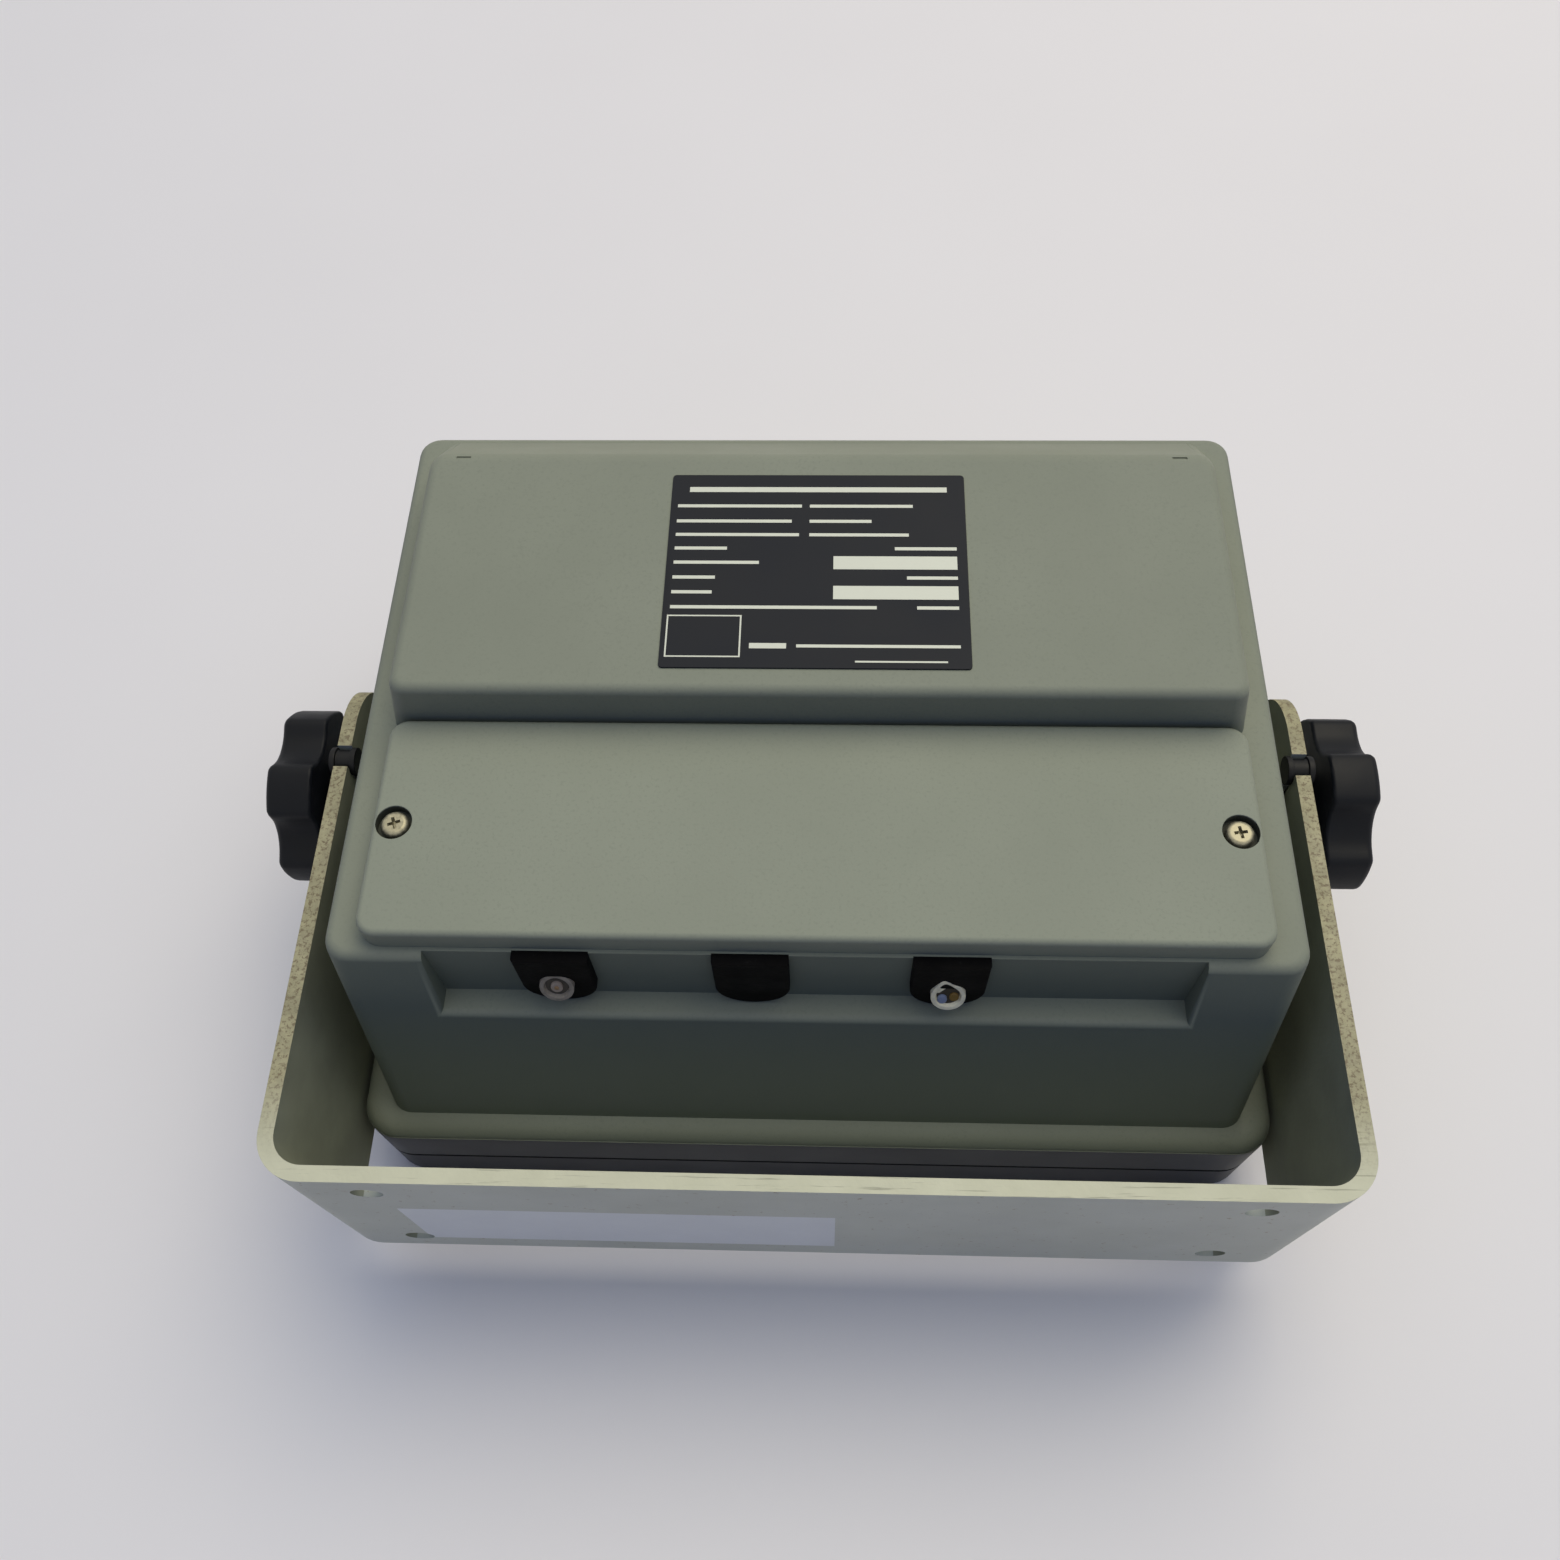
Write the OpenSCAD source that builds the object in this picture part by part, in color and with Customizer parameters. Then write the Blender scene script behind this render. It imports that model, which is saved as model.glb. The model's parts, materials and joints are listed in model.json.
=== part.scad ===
// Marine text receiver with a moulded case, a connector cover and a tilting U bracket.
// It lies on its front rim with the rear up: X is across, Y runs from its bottom to its top.

/* [Case] */
// Width of the case across the rear ledge
case_w = 236; // [220:1:260]
// Height of the case along the rear ledge
case_h = 164.5; // [155:0.5:180]
// Depth from the flange to the rear ledge
case_d = 80; // [74:1:100]
// Wall of the mouldings
wall = 3.5; // [2.5:0.1:4.5]
// How much each side spreads between the ledge and the flange
side_draft = 1.4; // [0.5:0.1:3]
// How much the bottom wall leans out between the ledge and the flange
bottom_draft = 15.6; // [10:0.2:20]
// How much the top wall leans out between the ledge and the flange
top_draft = 3.5; // [2:0.5:12]
// Radius of the upright corners of the case
corner_r = 6; // [4:0.5:9]
// Radius of the edge round the rear ledge
edge_r = 2.5; // [1:0.1:3]

/* [Raised section] */
// Height of the raised section above the ledge
raised_h = 20.5; // [15:0.5:26]
// Distance from the bottom edge of the ledge to the step
step_y = 62.8; // [58:0.2:66]
// Length of the ramp at the top end of the raised section
ramp_run = 25.5; // [18:0.5:30]
// Width of the ledge beside the raised section
ledge_w = 8; // [6:0.5:13]
// How much the raised sides lean in
raised_draft = 3.6; // [1:0.2:5]
// Rounding of the raised section's upper edges
raised_r = 2.6; // [1:0.2:4]
// Width of the two small moulded slots at the head of the ramp
slot_w = 4; // [2:0.5:6]
// Distance between those two slots
slot_pitch = 194.6; // [170:0.2:200]

/* [Front] */
// How far the flange stands out from the sides
lip_side = 7.6; // [6:0.2:10]
// How far the flange stands out from the bottom
lip_bottom = 6.4; // [5:0.2:9]
// How far the flange stands out from the top
lip_top = 7; // [5:0.5:9]
// Depth of the flange
flange_d = 22; // [18:0.5:28]
// Rounding of the flange's upper edge
flange_r = 5.6; // [3:0.2:6]
// Radius of the front corners
front_r = 11; // [9:0.5:15]
// Width of the sealing land inside the flange and the front panel
land_w = 8; // [7:0.5:10]
// Thickness of the front gasket
gasket_t = 1.5; // [1:0.1:3]
// Depth of the front panel
panel_d = 18.5; // [17.5:0.5:24]
// How far the front panel stands in from the flange
panel_inset = 1.5; // [0.5:0.1:3]
// Width of the rim round the front face
rim_w = 7; // [5:0.5:9]
// Depth of the front face below the rim
field_d = 5; // [4.5:0.1:6]
// Thickness of the front face
face_t = 3; // [2.5:0.1:3.5]

/* [Connector bay] */
// Thickness of the connector cover
cover_t = 7.5; // [6:0.5:10]
// Distance from the bottom edge of the ledge to the cover
cover_y = 2.7; // [2.5:0.1:4]
// Distance from the side of the ledge to the cover
cover_in = 9.5; // [8:0.5:13]
// Gap between the cover and the step
cover_gap = 0.6; // [0.3:0.1:1.5]
// Radius of the cover's corners
cover_r = 5; // [3:0.5:8]
// Distance from the end of the cover to its screw
cover_screw_in = 5.4; // [5.2:0.1:6.5]
// Width of the recess in the bottom wall
recess_w = 187; // [170:1:189]
// Depth of that recess below the ledge
recess_d = 27.5; // [27:0.5:32]
// Distance from the bottom edge of the ledge to the back of the recess
recess_y = 2.2; // [1.5:0.1:2.5]
// Depth of the connector pocket under the cover
pocket_d = 32; // [30:0.5:36]
// Width of the lip on a cable grommet
grommet_w = 18.5; // [17:0.5:22]
// Depth of the lip of a cable grommet below the ledge
grommet_d = 25.5; // [23:0.5:26]
// Overlap of the grommet's lips beside its notch
grommet_lip = 1.8; // [1:0.1:2.5]
// How far the grommet stands out of the recess
grommet_out = 3; // [2:0.1:3.5]
// Distance between the cable grommets
grommet_pitch = 48; // [40:0.5:52]
// Distance of the middle grommet from the centre line
grommet_off = 14.5; // [8:0.5:20]
// Diameter of the cable stubs
cable_d = 8.6; // [6:0.1:10]
// Depth of the aerial cable below the ledge
coax_drop = 13.2; // [12:0.1:15]
// Depth of the power cable below the ledge
power_drop = 15.3; // [13:0.1:16]
// Length of the terminal strip
strip_l = 70; // [50:1:80]

/* [Bracket] */
// Thickness of the bracket's plate
plate_t = 4; // [3:0.5:6]
// Gap between the flange and each arm
arm_gap = 3; // [2.5:0.1:5]
// Width of the bracket's strip
strip_w = 75; // [66:1:84]
// Distance from the pivot to the inside of the base
base_drop = 113; // [111:1:130]
// Inside radius of the bends
bend_r = 8; // [5:0.5:12]
// How far the arms reach past the pivot
arm_reach = 29.5; // [18:0.5:36]
// Radius of the corners of the arms
arm_r = 19; // [8:0.5:22]
// Distance from the bottom edge of the ledge to the pivot
pivot_y = 69; // [66:0.5:74]
// Depth of the pivot below the ledge
pivot_drop = 48; // [45:0.5:54]
// Distance from the pivot to the rear edge of the arm
pivot_edge = 24; // [20:0.5:30]
// Diameter of the base holes
hole_d = 8; // [5:0.5:10]
// Distance from the edge of the strip to a base hole
hole_edge = 11.5; // [9:0.5:16]
// Distance between the two pairs of base holes
hole_pitch = 217; // [190:1:225]
// Diameter of the heads of the keepers that close the slots in the arms
keeper_d = 8; // [7.8:0.1:10]
// Thickness of the keepers' heads
keeper_t = 1.6; // [1:0.1:2]

/* [Knobs] */
// Diameter of a star knob
knob_d = 50; // [46:1:60]
// Number of lobes
knob_lobes = 5; // [4:1:7]
// Thickness of the lobed part
lobe_t = 13; // [11:0.5:18]
// Diameter of the hollows between lobes
scallop_d = 22; // [16:1:26]
// Depth of the hollows between lobes
scallop_depth = 5; // [3:0.5:6]
// Chamfer of the lobed part
knob_chamfer = 2.2; // [1:0.2:3]
// Diameter of the knob's hub
hub_d = 20; // [17:0.5:26]
// Height of the knob's hub
hub_t = 4; // [3:0.5:7]
// Angle at which the left knob stands
left_angle = 11; // [-36:1:36]
// Angle at which the right knob stands
right_angle = -27; // [-36:1:36]
// Diameter of the knob's stud
stud_d = 6; // [5:0.5:7]
// Depth of the stud in the case
stud_in = 14; // [10:0.5:16]
// Diameter of the pivot boss on the case
boss_d = 26; // [22:0.5:32]
// Thickness of the pivot washer
pivot_washer_t = 1.5; // [1:0.1:3]
// Thickness of the knob's washer
knob_washer_t = 1.2; // [0.8:0.1:2]

/* [Nameplate] */
// Width of the nameplate
name_w = 78; // [60:1:90]
// Height of the nameplate
name_h = 62; // [50:1:64]
// Thickness of the nameplate
name_t = 0.5; // [0.3:0.1:1]

/* [Keys and display] */
// Number of key columns
key_cols = 3; // [3:1:3]
// Distance between key columns
key_dx = 32; // [28:0.5:33]
// Distance between key rows
key_dy = 24; // [20:0.5:28]
// Width of a key
key_w = 20; // [16:0.5:22]
// Height of a key
key_h = 12; // [9:0.5:14]
// Travel of a key
key_travel = 0.8; // [0.4:0.1:1]
// Width of the display opening
display_w = 80; // [60:1:86]
// Height of the display opening
display_h = 26; // [20:1:30]
// Diameter of an indicator lens
lens_d = 4.8; // [3:0.1:6]
// Diameter of the buzzer
buzzer_d = 24; // [20:0.5:26]

/* [Printer] */
// Width of the paper door's opening
door_w = 88; // [84:1:92]
// Height of the paper door's opening
door_h = 128; // [120:1:132]
// Size of the square window in the door
window_s = 68; // [50:1:72]
// Diameter of the paper roll
roll_d = 40; // [34:1:42]
// Width of the paper roll
roll_w = 80; // [70:1:82]
// Diameter of the roll's spindle
spindle_d = 8; // [6:0.5:10]
// Diameter of the platen roller
platen_d = 14; // [11:0.5:15]
// Diameter of the platen's shaft
shaft_d = 5; // [4:0.5:6]
// Thickness of the printer's sheet metal
sheet_t = 1.5; // [1:0.1:2]
// Diameter of the feed motor
motor_d = 24; // [20:0.5:26]
// Diameter of the door's hinge pin
pin_d = 3; // [2:0.1:3.6]

/* [Hidden] */
// Gaps between pieces that move past each other, pieces that fit, and turning shafts
slip = 0.3;
fit = 0.05;
run = 0.05;
eps = 0.01;
over = 1;
hull_fn = 32;
$fn = 64;

// Levels from the front rim up to the rear
case_z = panel_d + gasket_t;
flange_z = case_z + flange_d;
ledge_z = flange_z + case_d;
raised_z = ledge_z + raised_h;
face_z = field_d + face_t;

// Outlines of the flange and of the case beside it
root_w = case_w + 2*side_draft;
root_y1 = -bottom_draft;
root_y2 = case_h + top_draft;
front_w = root_w + 2*lip_side;
front_y1 = root_y1 - lip_bottom;
front_y2 = root_y2 + lip_top;
slot_h = 1;
slot_depth = 2;

// Bracket
pivot_z = ledge_z - pivot_drop;
arm_x = front_w/2 + arm_gap;
arm_z2 = pivot_z + pivot_edge;
arm_z1 = arm_z2 - strip_w;
base_y = pivot_y - base_drop;
slot_gap = stud_d + 2*slip;
boss_x = arm_x - slip - pivot_washer_t;
washer_x = arm_x + plate_t + slip;
hub_x = washer_x + knob_washer_t;
lobe_x = hub_x + hub_t;

// The origin is under the middle of the whole object
mid_y = (front_y2 + base_y - plate_t)/2;

// Connector bay
cover_w = case_w - 2*cover_in;
cover_y2 = step_y - cover_gap;
cover_draft = 0.1;
plate_off = 0.3;
cover_screw_x = cover_w/2 - cover_screw_in;
cover_screw_y = (cover_y + cover_y2)/2;
screw_d = 4;
screw_head_d = 7;
screw_head_t = 2.6;
counterbore_d = 9;
insert_wall = 1.2;
web_t = 4;
pocket_y1 = recess_y + web_t;
pocket_y2 = step_y - wall - 1;
pocket_z = ledge_z - pocket_d;
grommet_x = [-grommet_off - grommet_pitch, -grommet_off, grommet_pitch - grommet_off];
cable_out = 3.5;
socket_back = 16;
socket_y = pocket_y1 + socket_back;
socket_l = 20;
socket_w = 16;
socket_top = 6;
socket_nut = 3;
strip_clear = 14;
strip_ways = 6;
strip_hole_d = 5;

// Corners where the front panel is screwed on
screw_in = land_w + 5;
panel_screw_d = 3.5;
panel_boss_d = 8.6;
screw_spots = [for (x = [-1, 1], y = [front_y1 + screw_in, front_y2 - screw_in])
    [x*(front_w/2 - screw_in), y]];

// Boards
board_t = 1.6;
board_z = pivot_z + 4;
board_y1 = step_y + 5;
board_y2 = case_h - ramp_run + 14;
board_side = 23;
board_w = case_w - 2*board_side;
board_hole_in = 7;
board_spots = [for (x = [-1, 1], y = [board_y1 + board_hole_in, board_y2 - board_hole_in])
    [x*(board_w/2 - board_hole_in), y]];
board_boss_d = 9;
board_screw_d = 3;
board_mid = (board_y1 + board_y2)/2;
board_h = board_y2 - board_y1;
shield_w = 0.33*board_w;
shield_h = 0.52*board_h;
shield_t = 14;
shield_rim = 2;
vents = 5;
converter_w = 0.27*board_w;
converter_h = 0.47*board_h;
converter_t = 14;
fins = 6;
fin_t = 2;
fin_h = 12;

// Left half of the front as seen from behind: keys, indicators, display and buzzer
inner_x = front_w/2 - land_w;
inner_y1 = front_y1 + land_w;
inner_y2 = front_y2 - land_w;
key_in_x = 22;
key_in_y = 40;
key_x0 = -inner_x + key_in_x;
key_y0 = inner_y1 + key_in_y;
key_spots = [for (r = [0, 1], c = [0:key_cols - 1]) [key_x0 + c*key_dx, key_y0 + r*key_dy]];
key_r = 2;
key_flange = 1.5;
key_back_z = face_z + slip + key_flange;
stem_d = 5;
stem_z = key_back_z + 2;
switch_z = stem_z + key_travel + slip;
switch_t = 2;
switch_s = 6;
key_board_z = switch_z + switch_t;
key_board_edge = 7;
key_board_x1 = key_x0 - key_w/2 - key_board_edge;
key_board_x2 = key_x0 + (key_cols - 1)*key_dx + key_w/2 + key_board_edge;
key_board_y1 = key_y0 - key_h/2 - key_board_edge;
key_board_y2 = key_y0 + key_dy + key_h/2 + key_board_edge;
post_d = 6;
post_in = post_d/2;
key_mid_x = key_x0 + (key_cols - 1)*key_dx/2;
lens_y = key_board_y2 + 10;
lens_dx = 14;
lens_flange = 1;
display_y = lens_y + 12 + display_h/2;
glass_t = 1.5;
glass_lap = 4;
cell_lap = 3;
display_d = 8;
buzzer_y = inner_y2 - buzzer_d/2 - 3;
buzzer_t = 9;
sound_hole_d = 2.4;

// Printer on the other half; the door's opening widens for a roll wider than it has room for
roll_room = 80;
door_span = door_w + max(0, roll_w - roll_room);
door_x = inner_x - 10 - door_span/2 - 3;
door_y1 = inner_y1 + 22;
door_y2 = door_y1 + door_h;
barrel_r = pin_d/2 + 2;
hinge_y = door_y2 - slip - barrel_r;
hinge_z = field_d + 2;
door_z = field_d - 1.2;
lug_l = 5;
door_plate_t = face_z - door_z;
window_lap = 4;
cheek_x = door_span/2 + 2;
foot_w = 7;
roll_y = door_y1 + 0.6*door_h;
roll_z = face_z + 10 + roll_d/2;
bay_y1 = door_y1 + 14;
bay_y2 = roll_y + roll_d/2 + 5;
bay_z = roll_z + roll_d/2 + 3;
core_t = 2;
platen_y = bay_y1 + platen_d/2 + 2;
platen_z = face_z + 2 + motor_d/2;
head_t = 5;
head_w = 16;
bar_t = 4;
head_z = platen_z + platen_d/2 + slip;
motor_l = 18;
shaft_in = 8;
bush_wall = 2;
bush_l = 4;
exit_y = platen_y - platen_d/2 - 2;
exit_h = 3;
pull_w = 24;
pull_d = 4;

// Rounded rectangle, centred across and running from y1 to y2
module plan(w, y1, y2, r) {
    h = y2 - y1;
    translate([0, (y1 + y2)/2]) {
        square([w - 2*r, h], center = true);
        square([w, h - 2*r], center = true);
        for (x = [-1, 1], y = [-1, 1])
            translate([x*(w/2 - r), y*(h/2 - r)]) circle(r);
    }
}

// Thin layer of a rounded rectangle, for blending between levels
module layer(w, y1, y2, r, z) {
    translate([0, 0, z]) linear_extrude(eps) plan(w, y1, y2, r, $fn = hull_fn);
}

// Straight block with rounded upright corners, between two levels
module block(w, y1, y2, r, z1, z2) {
    translate([0, 0, z1]) linear_extrude(z2 - z1) plan(w, y1, y2, r);
}

// Box from its two corners
module box(a, b) {
    translate(a) cube(b - a);
}

// Cylinder along X from x1 to x2
module rod_x(x1, x2, d) {
    translate([min(x1, x2), 0, 0]) rotate([0, 90, 0]) cylinder(d = d, h = abs(x2 - x1));
}

// Cylinder along Y from y1 to y2
module rod_y(y1, y2, d) {
    translate([0, y1, 0]) rotate([-90, 0, 0]) cylinder(d = d, h = y2 - y1);
}

// Flat ring along X with its first face at x
module ring_x(x, t, outer_d, inner_d) {
    difference() {
        rod_x(x, x + t, outer_d);
        rod_x(x - over, x + t + over, inner_d);
    }
}

// Rear case: the drafted shell, set in by the given wall
module case_skin(inset) {
    hull() {
        layer(root_w - 2*inset, root_y1 + inset, root_y2 - inset, corner_r + 2 - inset/2,
            flange_z - wall - eps);
        for (a = [0, 30, 60, 90]) {
            s = inset + edge_r*(1 - cos(a));
            layer(case_w - 2*s, s, case_h - s, corner_r - inset/2,
                ledge_z - eps - inset - edge_r*(1 - sin(a)));
        }
    }
}

// Raised section with a step at the bottom end and a ramp at the top end
module raised_skin(inset) {
    low_w = case_w - 2*ledge_w - 2*inset;
    top_w = low_w - 2*raised_draft;
    ramp_y = case_h - ramp_run;
    hull() {
        layer(low_w, step_y + inset, case_h - edge_r - inset, 3, ledge_z - wall - over);
        layer(low_w, step_y + inset, case_h - edge_r - inset, 3, ledge_z - eps - inset);
        for (a = [0, 30, 60, 90]) {
            s = raised_r*(1 - cos(a));
            layer(top_w - 2*s, step_y + inset + s, ramp_y - inset/2 - s, 3,
                raised_z - eps - inset - raised_r*(1 - sin(a)));
        }
    }
}

module flange_skin() {
    hull() {
        layer(front_w, front_y1, front_y2, front_r, case_z);
        for (a = [0, 30, 60, 90]) {
            s = flange_r*(1 - cos(a));
            layer(front_w - 2*s, front_y1 + s, front_y2 - s, front_r - s/2,
                flange_z - eps - flange_r*(1 - sin(a)));
        }
    }
}

// Parts of the cavity that stay solid: connector pocket, screw bosses and pivot bosses
module case_bosses() {
    box([-recess_w/2 - wall, -bottom_draft, pocket_z - wall],
        [recess_w/2 + wall, pocket_y2 + wall, ledge_z]);
    for (s = [-1, 1]) {
        translate([s*cover_screw_x, cover_screw_y, ledge_z - pocket_d/2])
            cylinder(d = screw_d + 2*insert_wall + 2*wall, h = pocket_d/2);
        translate([0, pivot_y, pivot_z])
            rod_x(s*(boss_x - stud_in - 2*wall), s*boss_x, stud_d + 4*insert_wall + 2*wall);
    }
    for (p = board_spots)
        translate([p[0], p[1], board_z + board_t]) cylinder(d = board_boss_d, h = raised_z - board_z);
    for (p = screw_spots)
        translate([p[0], p[1], case_z]) cylinder(d = panel_boss_d, h = flange_d);
}

module case_cavity() {
    difference() {
        union() {
            case_skin(wall);
            raised_skin(wall);
            block(front_w - 2*wall, front_y1 + wall, front_y2 - wall, front_r - wall,
                case_z + wall, flange_z - wall);
            block(front_w - 2*land_w, inner_y1, inner_y2, front_r - wall, case_z - over, flange_z - wall);
        }
        case_bosses();
    }
}

// U outline of a cable notch or grommet, open towards the rear
module notch(w, d, y1, y2) {
    translate([0, y1, ledge_z]) rotate([-90, 0, 0]) linear_extrude(y2 - y1) {
        translate([-w/2, 0]) square([w, d - w/2]);
        translate([0, d - w/2]) circle(d = w);
    }
}

module rear_case() {
    color([0.52, 0.54, 0.48]) difference() {
        union() {
            case_skin(0);
            flange_skin();
            raised_skin(0);
            for (s = [-1, 1])
                translate([0, pivot_y, pivot_z]) rod_x(s*(case_w/2 - wall), s*boss_x, boss_d);
        }
        case_cavity();
        box([-recess_w/2, front_y1, ledge_z - recess_d], [recess_w/2, recess_y, ledge_z + over]);
        box([-recess_w/2 + wall, pocket_y1, pocket_z], [recess_w/2 - wall, pocket_y2, ledge_z + over]);
        for (x = grommet_x) translate([x, 0, 0])
            notch(grommet_w - 2*grommet_lip, grommet_d - grommet_lip, recess_y - over, pocket_y1 + over);
        for (s = [-1, 1]) {
            translate([s*cover_screw_x, cover_screw_y, ledge_z - pocket_d/2 + wall])
                cylinder(d = screw_d + 2*insert_wall, h = pocket_d);
            translate([0, pivot_y, pivot_z])
                rod_x(s*(boss_x - stud_in - wall), s*(boss_x + over), stud_d + 4*insert_wall);
            translate([s*slot_pitch/2, case_h - ramp_run - slot_h/2, raised_z - slot_depth])
                box([-slot_w/2, -slot_h/2, 0], [slot_w/2, slot_h/2, slot_depth + over]);
        }
        for (p = board_spots)
            translate([p[0], p[1], board_z]) cylinder(d = board_screw_d, h = 14);
        for (p = screw_spots)
            translate([p[0], p[1], case_z - over]) cylinder(d = panel_screw_d, h = flange_d - wall);
    }
}

module connector_cover() {
    skin = wall - 0.5;
    color([0.53, 0.55, 0.49]) difference() {
        union() {
            difference() {
                hull() {
                    layer(cover_w, cover_y, cover_y2, cover_r, ledge_z);
                    for (a = [0, 45, 90]) {
                        s = cover_draft + (edge_r - 1)*(1 - cos(a));
                        layer(cover_w - 2*s, cover_y + s, cover_y2 - s, cover_r - s/2,
                            ledge_z + cover_t - eps - (edge_r - 1)*(1 - sin(a)));
                    }
                }
                block(cover_w - 2*skin, cover_y + skin, cover_y2 - skin, cover_r - skin + 1,
                    ledge_z - over, ledge_z + cover_t - skin);
            }
            for (s = [-1, 1]) translate([s*cover_screw_x, cover_screw_y, ledge_z])
                cylinder(d = counterbore_d + 1.2, h = cover_t - 1);
        }
        for (s = [-1, 1]) translate([s*cover_screw_x, cover_screw_y, ledge_z]) {
            translate([0, 0, -over]) cylinder(d = screw_d + 2*slip, h = cover_t + 2*over);
            translate([0, 0, cover_t - screw_head_t - 0.4]) cylinder(d = counterbore_d, h = cover_t);
        }
    }
}

module cover_screws() {
    seat = ledge_z + cover_t - screw_head_t - 0.4;
    deep = ledge_z - pocket_d/2 + wall + 1;
    color([0.78, 0.77, 0.72]) for (s = [-1, 1]) translate([s*cover_screw_x, cover_screw_y, 0])
        difference() {
            union() {
                translate([0, 0, deep]) cylinder(d = screw_d, h = seat - deep + eps);
                translate([0, 0, seat]) rotate_extrude() {
                    square([screw_head_d/2, screw_head_t*0.55]);
                    square([screw_head_d/2 - 1, screw_head_t]);
                }
            }
            for (a = [0, 90]) translate([0, 0, seat + screw_head_t]) rotate(a)
                cube([screw_head_d*0.55, 0.9, 2.4], center = true);
        }
}

module cover_inserts() {
    low = ledge_z - pocket_d/2 + wall;
    color([0.80, 0.66, 0.36]) for (s = [-1, 1]) translate([s*cover_screw_x, cover_screw_y, low])
        difference() {
            cylinder(d = screw_d + 2*insert_wall - 2*fit, h = ledge_z - low - fit);
            translate([0, 0, -over]) cylinder(d = screw_d + 2*fit, h = pocket_d);
        }
}

module nameplate() {
    mid = (step_y + case_h - ramp_run)/2 - plate_off;
    color([0.12, 0.13, 0.14]) block(name_w, mid - name_h/2, mid + name_h/2, 1, raised_z, raised_z + name_t);
}

// One cable grommet: a groove grips the wall between two lips
module grommet(x, drop, bored) {
    color([0.06, 0.06, 0.07]) difference() {
        translate([x, 0, -fit]) {
            notch(grommet_w, grommet_d, recess_y - grommet_out, recess_y - fit);
            notch(grommet_w - 2*grommet_lip - 2*fit, grommet_d - grommet_lip - 2*fit,
                recess_y - grommet_out/2, pocket_y1 + web_t/2);
            notch(grommet_w, grommet_d, pocket_y1 + fit, pocket_y1 + web_t);
        }
        if (bored) translate([x, 0, ledge_z - drop]) rod_y(front_y1, pocket_y1 + 2*web_t, cable_d + 2*fit);
    }
}

module grommet_left() { grommet(grommet_x[0], coax_drop, true); }
module grommet_blank() { grommet(grommet_x[1], coax_drop, false); }
module grommet_right() { grommet(grommet_x[2], power_drop, true); }

// Cable stubs, cut off just outside their grommets
module cable_stub(x, drop) {
    translate([x, 0, ledge_z - drop]) rod_y(recess_y - grommet_out - cable_out, socket_y, cable_d);
}

module coax_stub() { color([0.35, 0.35, 0.34]) cable_stub(grommet_x[0], coax_drop); }
module power_stub() { color([0.86, 0.84, 0.76]) cable_stub(grommet_x[2], power_drop); }

module coax_socket() {
    color([0.70, 0.70, 0.68]) translate([grommet_x[0], socket_y, 0]) {
        box([-socket_w/2, 0, pocket_z], [socket_w/2, socket_l, ledge_z - coax_drop + socket_top]);
        translate([0, 0, ledge_z - coax_drop]) difference() {
            rod_y(-socket_nut, fit, cable_d + socket_w/4);
            rod_y(-socket_nut - over, 0, cable_d + 2*fit);
        }
    }
}

module terminal_strip() {
    h = pocket_d - strip_clear;
    pitch = strip_l/strip_ways;
    color([0.15, 0.16, 0.15]) translate([grommet_x[2] - strip_l/2, socket_y, pocket_z]) difference() {
        box([0, 0, 0], [strip_l, socket_l, h + strip_hole_d - over]);
        for (i = [0:strip_ways - 1]) {
            translate([(i + 0.5)*pitch, socket_l/2, h]) cylinder(d = strip_hole_d, h = h);
            translate([i*pitch + over, socket_l - strip_hole_d, h - strip_hole_d - over])
                cube([pitch - 2*over, 2*strip_hole_d, h]);
        }
    }
}

module knob_inserts() {
    color([0.80, 0.66, 0.36]) translate([0, pivot_y, pivot_z]) for (s = [-1, 1])
        ring_x(s > 0 ? boss_x - stud_in - wall : -boss_x, stud_in + wall, stud_d + 4*insert_wall - 2*fit,
            stud_d + 2*run);
}

module pivot_washers() {
    color([0.10, 0.10, 0.10]) translate([0, pivot_y, pivot_z]) for (s = [-1, 1])
        ring_x(s > 0 ? boss_x : -boss_x - pivot_washer_t, pivot_washer_t, boss_d - 1, slot_gap);
}

module front_gasket() {
    inner = land_w - 1;
    color([0.05, 0.05, 0.05]) difference() {
        block(front_w - 2*(panel_inset + 1), front_y1 + panel_inset + 1, front_y2 - panel_inset - 1,
            front_r - panel_inset, panel_d, case_z);
        block(front_w - 2*inner, front_y1 + inner, front_y2 - inner, front_r - inner/2,
            panel_d - over, case_z + over);
    }
}

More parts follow.
